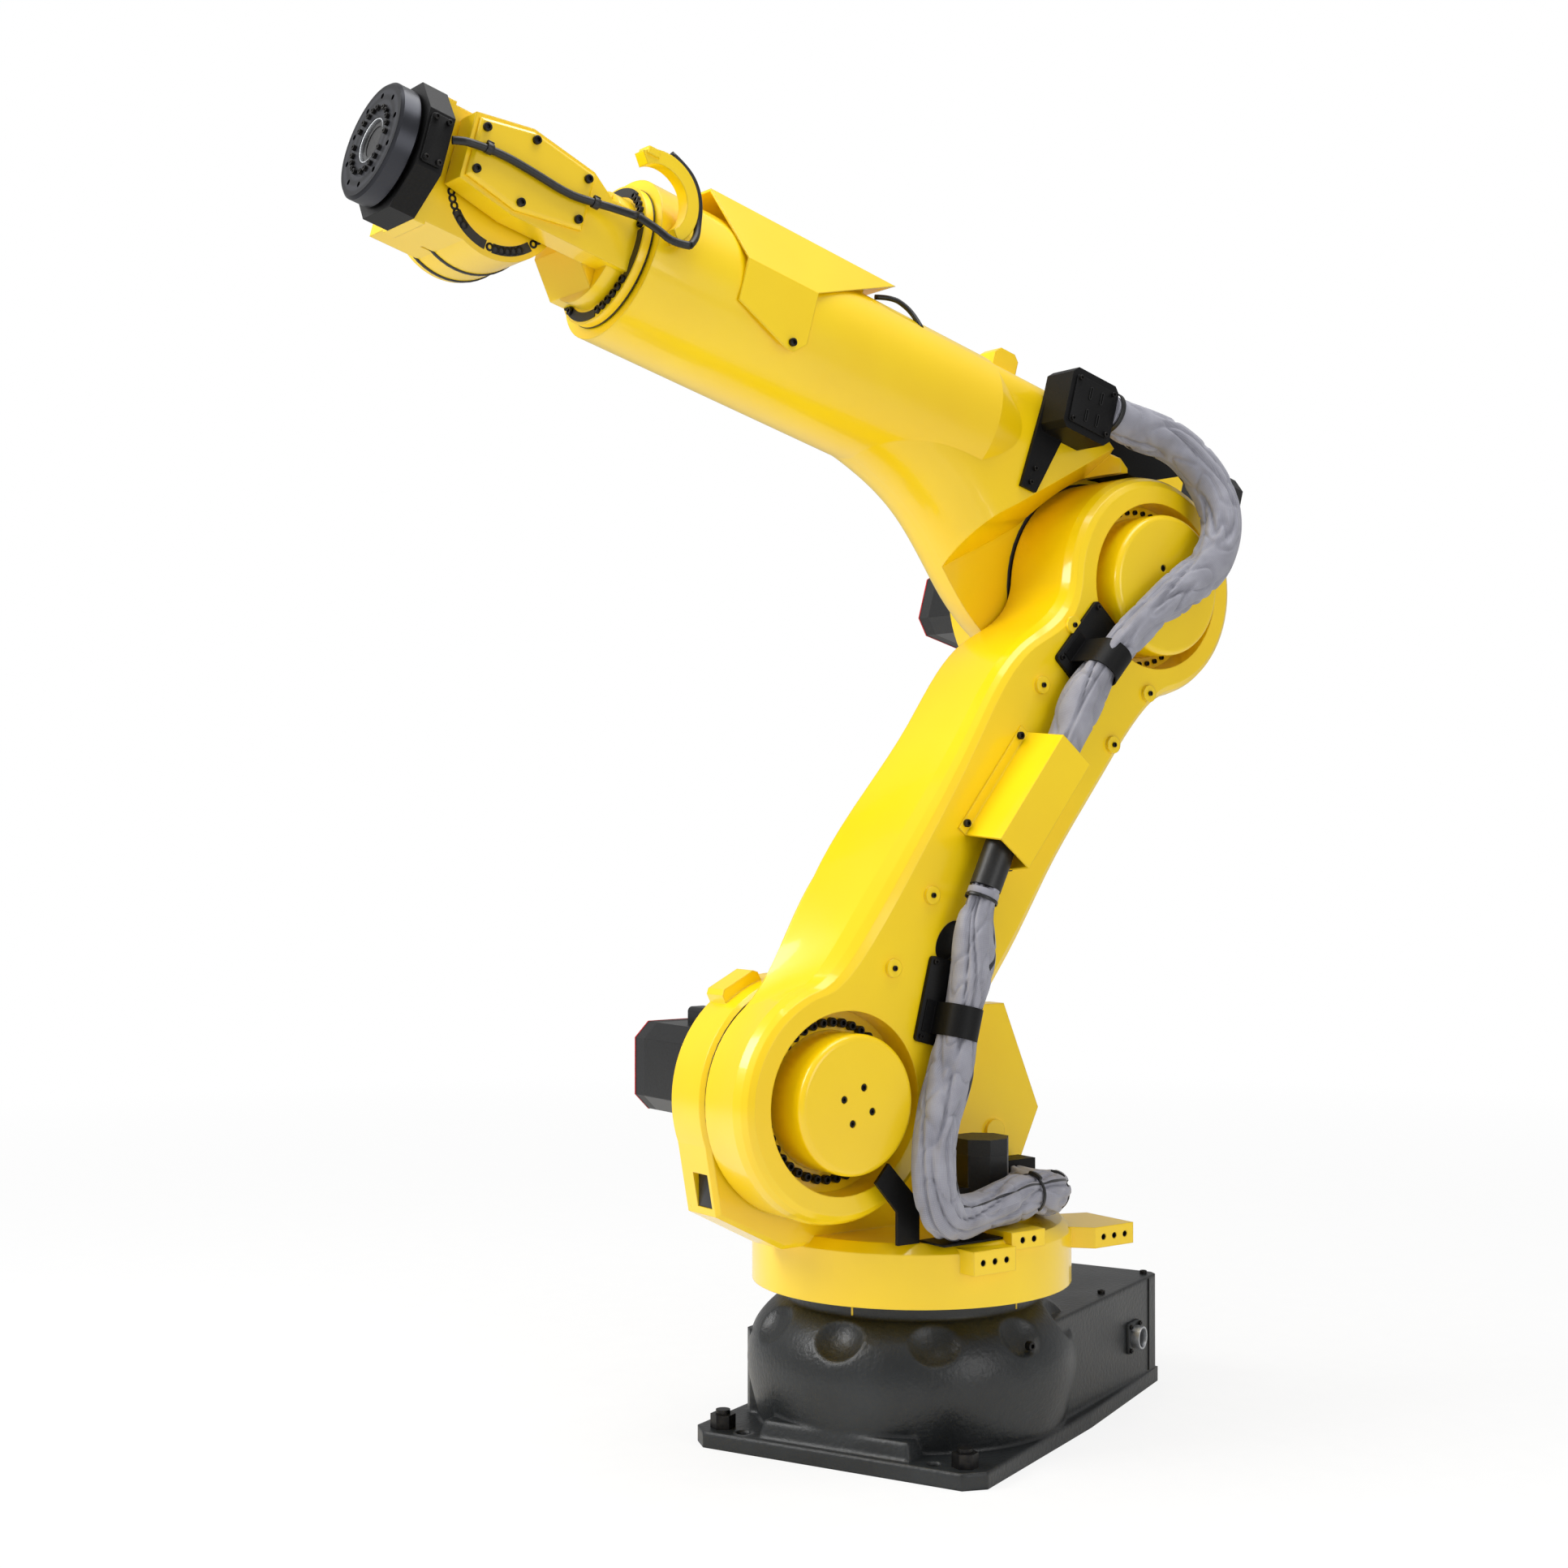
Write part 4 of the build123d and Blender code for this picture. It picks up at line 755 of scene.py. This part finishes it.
def on_line(line, distance, turn=0):
    """A place on a line, a distance along it in metres: its Z follows the line."""
    for before, after in zip(line, line[1:]):
        step = (after - before).length
        if distance <= step:
            break
        distance -= step
    spin = (after - before).to_track_quat("Z", "Y").to_matrix().to_4x4()
    return Matrix.Translation(before.lerp(after, distance / step)) @ spin @ Matrix.Rotation(turn, 4, "Z")


# %% Bands on the sleeves
cuff_place = on_line(lower_line, lower_reach - 0.012)
settle(model_band(28.5, 13, 1.5), "cuff_band", cuff_place, "lower_arm", sleeve_cloth)
cuff_tie_place = on_line(lower_line, lower_reach - 0.022, turn=2)
settle(model_band(29.5, 6, 2, head=5), "cuff_tie", cuff_tie_place, "lower_arm", black_rubber)
for index, distance in enumerate(tail_ties):
    tie_place = on_line(lower_line, distance, turn=1.2)
    settle(model_band(35.5, 7, 2, head=6), f"tail_tie_{index + 1}", tie_place, "turntable", black_rubber)
clamp_ring_place = on_line(upper_line, upper_reach - 0.008)
settle(model_band(39, 10, 3), "clamp_ring", clamp_ring_place, "upper_arm", black_rubber)

# %% Seals of the wrist drum and the roll ring
for name, level in (("drum_seal_1", -64.5), ("drum_seal_2", -125.5)):
    settle(model_band(111.2, 8, 7.4), name, set_on(bend, 0, 0, level), "wrist_bend", black_rubber)
roll_seal_place = set_on(bend, 0, -252, 0) @ facing_forward
settle(model_band(126, 3, 5), "roll_seal", roll_seal_place, "wrist_roll", black_rubber)

# %% [markdown]
# Black discs fill the gaps of the shoulder and the elbow as painted shade. From the front they show as
# dark crescents between the castings, where the gaps lie in shadow. Each lies on the casting that carries the
# joint.

# %% Painted shade discs in the joint gaps
shade_discs = {"shoulder_shade_disc": (set_on(shoulder, 0, 0, 65.5), 150, 65, "turntable"),
              "elbow_shade_disc": (set_on(elbow, 0, 0, 5.6), 150, 77, "upper_arm")}
# Each disc is a black sheet of painted shade in a joint gap.
for name, (place, inner, reach, body) in shade_discs.items():
    settle(model_band(inner, 1, reach), name, place, body, black_rubber)

# %% [markdown]
# ## Cable clips and the cable on the hook
# Two P-clips pin the wrist cable to the cover and the neck. Past them, the cable climbs the back of the
# yellow hook. A second thin cable leaves the roof cover and dives into the barrel.

# %% Clips
for name, point in (("front_clip", (26, 78, 122)), ("rear_clip", (24, -134, 124))):
    clip_place = set_on(bend, *point) @ facing_forward
    settle(model_band(7.4, 12, 2.4, head=3), name, clip_place, "wrist_roll", black_rubber)

# %% Two thin cables
hook_points = route(
    elbow, (203, 1212, 189), (222, 1198, 180), (255, 1195, 168), (290, 1199, 165), (319, 1215, 165),
    (340, 1242, 165), (350, 1277, 165),
)
hook_line = spline_line(hook_points, cable_steps)
hook_cable = cloth_tube("hook_cable", hook_line, 0.0065, cable_sides, no_creases)
roof_points = route(
    elbow, (352, 712, 40), (362, 682, 52), (352, 655, 66), (332, 638, 82), (312, 630, 96),
)
roof_line = spline_line(roof_points, cable_steps)
roof_cable = cloth_tube("roof_cable", roof_line, 0.005, 14, no_creases)
for cable, line, size in ((hook_cable, hook_line, 0.013), (roof_cable, roof_line, 0.01)):
    cable.data.materials.append(black_rubber)
    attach(cable, "upper_arm")

# %% [markdown]
# ## Plates and lids
# Flat parts with chamfered corners turn up all over the arm: the lip round a motor's cap, the foot of a
# clamp, the dark plug in a pocket. Each starts as a cube at its size. Its upright edges are bevelled for
# the corners and its top rim for the light. A round plug starts as a cylinder, and its middle is sunk.

# %% One plate
def model_plate(width, length, thickness, corner, rim=0.8, sunk=0, border=6):
    """A flat plate that lies on its own floor, in millimetres. Sunk is how deep its middle lies."""
    bpy.ops.object.select_all(action="DESELECT")
    bpy.ops.mesh.primitive_cube_add(size=1, location=(0, 0, thickness / 2000),
                                    scale=(width / 1000, length / 1000, thickness / 1000))
    plate = bpy.context.object
    bpy.ops.object.transform_apply(location=True, scale=True)
    bpy.ops.object.mode_set(mode="EDIT")
    pick("EDGE", lambda edge: abs((edge.verts[0].co - edge.verts[1].co).normalized().z) > 0.9)
    bpy.ops.mesh.bevel(offset=corner / 1000, segments=1 if corner > 20 else 4)
    pick("FACE", upward)
    if sunk:
        bpy.ops.mesh.inset(thickness=border / 1000, depth=0)
        extrude(0, 0, -sunk)
    else:
        bpy.ops.mesh.inset(thickness=rim / 1000, depth=0)
        bpy.ops.transform.translate(value=(0, 0, rim / 2000))
    bpy.ops.object.mode_set(mode="OBJECT")
    return plate


# %% One plug
def model_disc(width, length, thickness, border):
    """A round or oval plug with a sunk middle, in millimetres."""
    bpy.ops.object.select_all(action="DESELECT")
    bpy.ops.mesh.primitive_cylinder_add(vertices=48, radius=0.5, depth=thickness / 1000)
    disc = bpy.context.object
    disc.location.z = thickness / 2000
    disc.scale = (width / 1000, length / 1000, 1)
    bpy.ops.object.transform_apply(location=True, scale=True)
    bpy.ops.object.mode_set(mode="EDIT")
    pick("FACE", upward)
    bpy.ops.mesh.inset(thickness=border / 1000, depth=0)
    extrude(0, 0, -thickness / 2)
    bpy.ops.object.mode_set(mode="OBJECT")
    return disc


# %% Red lip on the motor caps
# Moulded red nylon: a thin bright line with a soft gloss and a faint flow pattern.
look = new_look("red_moulded_nylon")
red_nylon = paint(look, {
    "Base Color": ramp(look, speckle(look, size=20, detail=2.0), (0.3, "#A3101A"), (0.7, "#C4202A")),
    "Roughness": 0.4,
})
lips = {"shoulder_cap_lip": (set_on(shoulder, 22, 0, -370), 174, "turntable"),
        "elbow_cap_lip": (set_on(elbow, 0, 0, -445), 152, "upper_arm")}
for name, (place, width, body) in lips.items():
    lip = model_plate(width, width, 3, 31, sunk=2.4, border=5)
    settle(lip, name, place @ facing_far, body, red_nylon)

# %% Tip of the hook
tip_place = set_on(elbow, 325, 1317, 164) @ Matrix.Rotation(radians(90), 4, "Y")
settle(model_plate(36, 26, 13, 4), "hook_tip", tip_place, "upper_arm", yellow_enamel)

# %% [markdown]
# ## Saddles
# A saddle is a broad powder-coated plate screwed to the lower arm, with a strap that holds the sleeve
# down. The strap is the upper half of an open cylinder whose two straight edges are drawn down into
# legs and out into feet.

# %% One strap
def model_strap(radius, rise, width, foot):
    """A strap over a sleeve that runs along X, standing on its own floor, in millimetres."""
    bpy.ops.object.select_all(action="DESELECT")
    bpy.ops.mesh.primitive_cylinder_add(vertices=48, radius=radius / 1000, depth=width / 1000,
                                        end_fill_type="NOTHING", location=(0, 0, rise / 1000),
                                        rotation=(0, radians(90), 0))
    strap = bpy.context.object
    bpy.ops.object.transform_apply(location=True, rotation=True)
    bpy.ops.object.mode_set(mode="EDIT")
    pick("FACE", lambda face: face.calc_center_median().z < rise / 1000)
    bpy.ops.mesh.delete(type="FACE")
    for side in (-1, 1):
        for height, step in ((rise, (0, 0, -rise)), (0, (0, side * foot, 0))):
            pick("EDGE", lambda edge: edge.is_boundary and all(
                abs(end.co.z - height / 1000) < 0.0001 and end.co.y * side > 0 for end in edge.verts))
            extrude(*step)
    bpy.ops.mesh.select_all(action="SELECT")
    bpy.ops.mesh.normals_make_consistent(inside=False)
    bpy.ops.object.mode_set(mode="OBJECT")
    wall = strap.modifiers.new("wall", "SOLIDIFY")
    wall.thickness = 0.003
    wall.offset = 1
    bpy.ops.object.modifier_apply(modifier="wall")
    return strap


# %% Two saddles
saddles = {"lower": ((277, -81, 200.3), 24, 45.7), "upper": ((1029.5, 50, 200.3), -4, 62)}
pad_thickness = 8
for end, (point, turn, rise) in saddles.items():
    place = set_on(lower, *point) @ Matrix.Rotation(radians(turn), 4, "Z")
    pad = settle(model_plate(160, 132, pad_thickness, 8), f"{end}_pad", place, "lower_arm", black_powder)
    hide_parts(f"{end}_saddle")
    over = set_on(place, -30, 0, pad_thickness)
    strap = model_strap(34, rise - pad_thickness, 60, 24)
    settle(strap, f"{end}_strap", over, "lower_arm", black_powder)
    corners = corner_places(place, 70, 56, pad_thickness + 0.2)
    spread(small_screw, f"{end}_pad_screws", corners, "lower_arm", black_steel)

# %% [markdown]
# ## Tool flange
# The flange is the arm's working face: a turned disc with a centring bore, which is bare bright steel,
# and an inner circle of screws in groups that holds it to the gear. The solid has the bore and the tool
# holes, so a thin liner and the screws are added, and a black disc at the bottom of the bore is painted
# shade.

# %% Bore liner, painted shade in the bore, and flange screws
# Bare turned steel: bright grey with a fine mottle, drawn at 2 mm to show.
look = new_look("bright_turned_steel")
bright_steel = paint(look, {
    "Base Color": ramp(look, speckle(look, size=2, detail=2.0), (0.3, "#A9ABAE"), (0.7, "#C9CBCE")),
    "Metallic": 1.0,
    "Roughness": 0.42,
})
tool_face = set_on(bend, 0, 232, 0) @ facing_forward
liner_place, shade_floor_place = set_on(tool_face, 0, 0, -5.2), set_on(tool_face, 0, 0, -9.8)
settle(model_band(37.6, 9, 2), "bore_liner", liner_place, "tool_flange", bright_steel)
# Painted shade: a black disc at the bottom of the bore keeps it dark.
settle(model_disc(75, 75, 3, 10), "bore_shade_floor", shade_floor_place, "tool_flange", black_rubber)
group_sweep, group_screws = 62, 5
flange_sets = [
    place for start in (0, 90, 180, 270)
    for place in ring_places(tool_face, 58, group_screws, start, start + group_sweep)
]
spread(small_screw, "flange_screws", flange_sets, "tool_flange", black_steel)

# %% Tool case lid and screws
case_face = set_on(bend, 0, 167, 112)
settle(model_plate(86, 38, 5, 6), "case_lid_near", case_face, "wrist_bend", black_powder)
spread(small_screw, "case_lid_screws", corner_places(case_face, 36, 12, 5.4), "wrist_bend", black_steel)

# %% [markdown]
# ## Clamp, pocket and window
# The clamp block is a folded steel box whose near wall is slotted for ties. The pocket in the shoulder
# cheek and the window of the lower arm look black in the picture, because each is closed by a dark
# rubber plug a little way in.

# %% Clamp wall with its slots
clamp_face = set_on(elbow, 282, 262, 198.3)
settle(model_plate(96, 104, 3, 5), "clamp_wall", clamp_face, "upper_arm", black_powder)
for index, (u, f) in enumerate(((-24, -18), (-24, 12), (22, -18), (22, 12))):
    slot = model_plate(26, 7, 2.5, 3, sunk=2, border=1.6)
    slot_place = set_on(clamp_face, u, f, 2.8)
    settle(slot, f"clamp_slot_{index + 1}", slot_place, "upper_arm", black_rubber)
spread(small_screw, "clamp_screws", corner_places(clamp_face, 42, 45, 3.3), "upper_arm", black_steel)
leg_places = [set_on(elbow, 112, 318, 130.3), set_on(elbow, 142, 314, 130.3)]
spread(small_screw, "leg_screws", leg_places, "upper_arm", black_steel)

# %% Plugs of the pocket and the window
pocket_place = set_on(shoulder, -160, 182, 26) @ facing_forward
settle(model_plate(61, 45, 4, 3), "pocket_plug", pocket_place, "turntable", black_rubber)
window_place = set_on(lower, 372.5, -14, 182)
settle(model_disc(87.4, 61.4, 12, 4), "window_plug", window_place, "lower_arm", black_rubber)

# %% [markdown]
# ## Base
# The iron base has two yellow zero marks at the seam under the turntable, a plug in its side, a seam
# where the rear box closes and a round cable port.

# %% Marks, plug, seam and port
def round_base(angle, radius, height):
    """A place on the base: its Z points outwards and its X points up."""
    round_axis = Matrix.Rotation(radians(angle), 4, "Z")
    outwards = Matrix.Rotation(radians(90), 4, "Y") @ Matrix.Rotation(pi, 4, "Z")
    return set_on(round_axis, radius, 0, height) @ outwards


for name, angle in (("zero_mark_1", 1), ("zero_mark_2", 81)):
    settle(model_plate(16, 4, 1.5, 1, rim=0.4), name, round_base(angle, 243.4, 270), "base", yellow_enamel)
spread(ring_screw, "base_plug", [round_base(74, 296, 208)], "base", black_steel)
box_side = set_on(Matrix.Identity(4), 0, 280, 0) @ facing_forward
seam, port = set_on(box_side, -530, -128, 0), set_on(box_side, -440, -120, 0)
settle(model_plate(5, 190, 2, 1.5, rim=0.6), "box_seam", seam, "base", black_rubber)
settle(model_plate(64, 64, 5, 10), "port_plate", port, "base", black_iron)
settle(model_band(19, 22, 4), "port_collar", set_on(port, 0, 0, 13), "base", bright_steel)
spread(small_screw, "port_screws", corner_places(port, 24, 24, 5.3), "base", black_steel)
lid_middle = set_on(Matrix.Identity(4), -443, 0, 226)
spread(cover_screw, "box_lid_screws", corner_places(lid_middle, 113, 258, 0), "base", black_steel)

# %% Thread inserts of the bracket pads
insert = model_band(4.2, 14, 1.5)
insert_depth = 8
pad_rows = [(forward, 325, 380) for forward in (41, 69, 97)]
pad_rows += [(forward, 314, 408) for forward in (-36, -8)]
pad_rows += [(forward, 260, 378) for forward in (-320, -292, -264)]
insert_places = [
    set_on(turntable, forward, reach - insert_depth, level) @ facing_forward
    for forward, reach, level in pad_rows
]
spread(insert, "pad_inserts", insert_places, "turntable", black_steel)
for model in (small_screw, cap_screw, cover_screw, ring_screw, insert):
    bpy.data.objects.remove(model)

# %% [markdown]
# ## Stage and light
# The picture shows the arm cut out on white. A pale floor takes a soft shadow, and the world is white to
# the camera and dimmer as a light. Two large lamps stand for the windows on the left and above, and a
# weak one fills the right side.

# %% Floor
bpy.ops.object.select_all(action="DESELECT")
bpy.ops.mesh.primitive_plane_add(size=60, location=(0, 0, -0.0005))
floor = bpy.context.object
floor.name = "floor"
look = new_look("pale_floor_paint")
floor_paint = paint(look, {
    "Base Color": ramp(look, speckle(look, size=60, detail=3.0), (0.3, "#F1F1F0"), (0.7, "#F6F6F5")),
    "Roughness": 0.9,
})
glow = add(look.tree, "ShaderNodeEmission", {"Color": hex_colour("#FFFFFF"), "Strength": 1.0})
seen = add(look.tree, "ShaderNodeLightPath", {})
away = add(look.tree, "ShaderNodeVectorMath", {0: look.spot}, operation="LENGTH")
paler = add(look.tree, "ShaderNodeMapRange", {"Value": away.outputs["Value"], "From Min": 1.0,
                                              "From Max": 6.0, "To Min": 0.82, "To Max": 1.0})
share = add(look.tree, "ShaderNodeMath", {0: seen.outputs["Is Camera Ray"], 1: paler.outputs["Result"]},
            operation="MULTIPLY")
mixed = add(look.tree, "ShaderNodeMixShader", {0: share.outputs["Value"], 1: look.shader.outputs["BSDF"],
                                               2: glow.outputs["Emission"]})
feed(look.tree, look.tree.nodes["Material Output"], {"Surface": mixed.outputs["Shader"]})
floor.data.materials.append(floor_paint)
floor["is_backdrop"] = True

# %% World and lamps
world = bpy.data.worlds.new("studio")
bpy.context.scene.world = world
world.use_nodes = True
tree = world.node_tree
seen = add(tree, "ShaderNodeLightPath", {})
plain = add(tree, "ShaderNodeMath",
            {0: seen.outputs["Is Camera Ray"], 1: seen.outputs["Is Transmission Ray"]}, operation="MAXIMUM")
level = add(tree, "ShaderNodeMapRange", {"Value": plain.outputs["Value"], "To Min": 0.42, "To Max": 1.0})
feed(tree, tree.nodes["Background"], {"Strength": level.outputs["Result"], "Color": hex_colour("#FFFFFF")})
lamps = {"left_window": ((2.9, -2.6, 3.4), 2.2, 150), "roof_light": ((0.2, 0.4, 5.2), 3.2, 130),
         "right_fill": ((1.6, 4.6, 2.0), 2.4, 45)}
aim = Vector((0.1, 0, 1.1))
for name, (place, size, power) in lamps.items():
    lamp = bpy.data.objects.new(name, bpy.data.lights.new(name, "AREA"))
    lamp.data.size = size
    lamp.data.energy = power
    lamp.location = place
    lamp.rotation_euler = (aim - lamp.location).to_track_quat("-Z", "Y").to_euler()
    bpy.context.scene.collection.objects.link(lamp)
bpy.context.scene.view_settings.view_transform = "Standard"
print("lamps:", ", ".join(lamps))

# %% Measure and finish
for name, corners in (("solids", cad_box), ("dressed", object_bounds())):
    print(name, [[round(value, 3) for value in corner] for corner in corners])
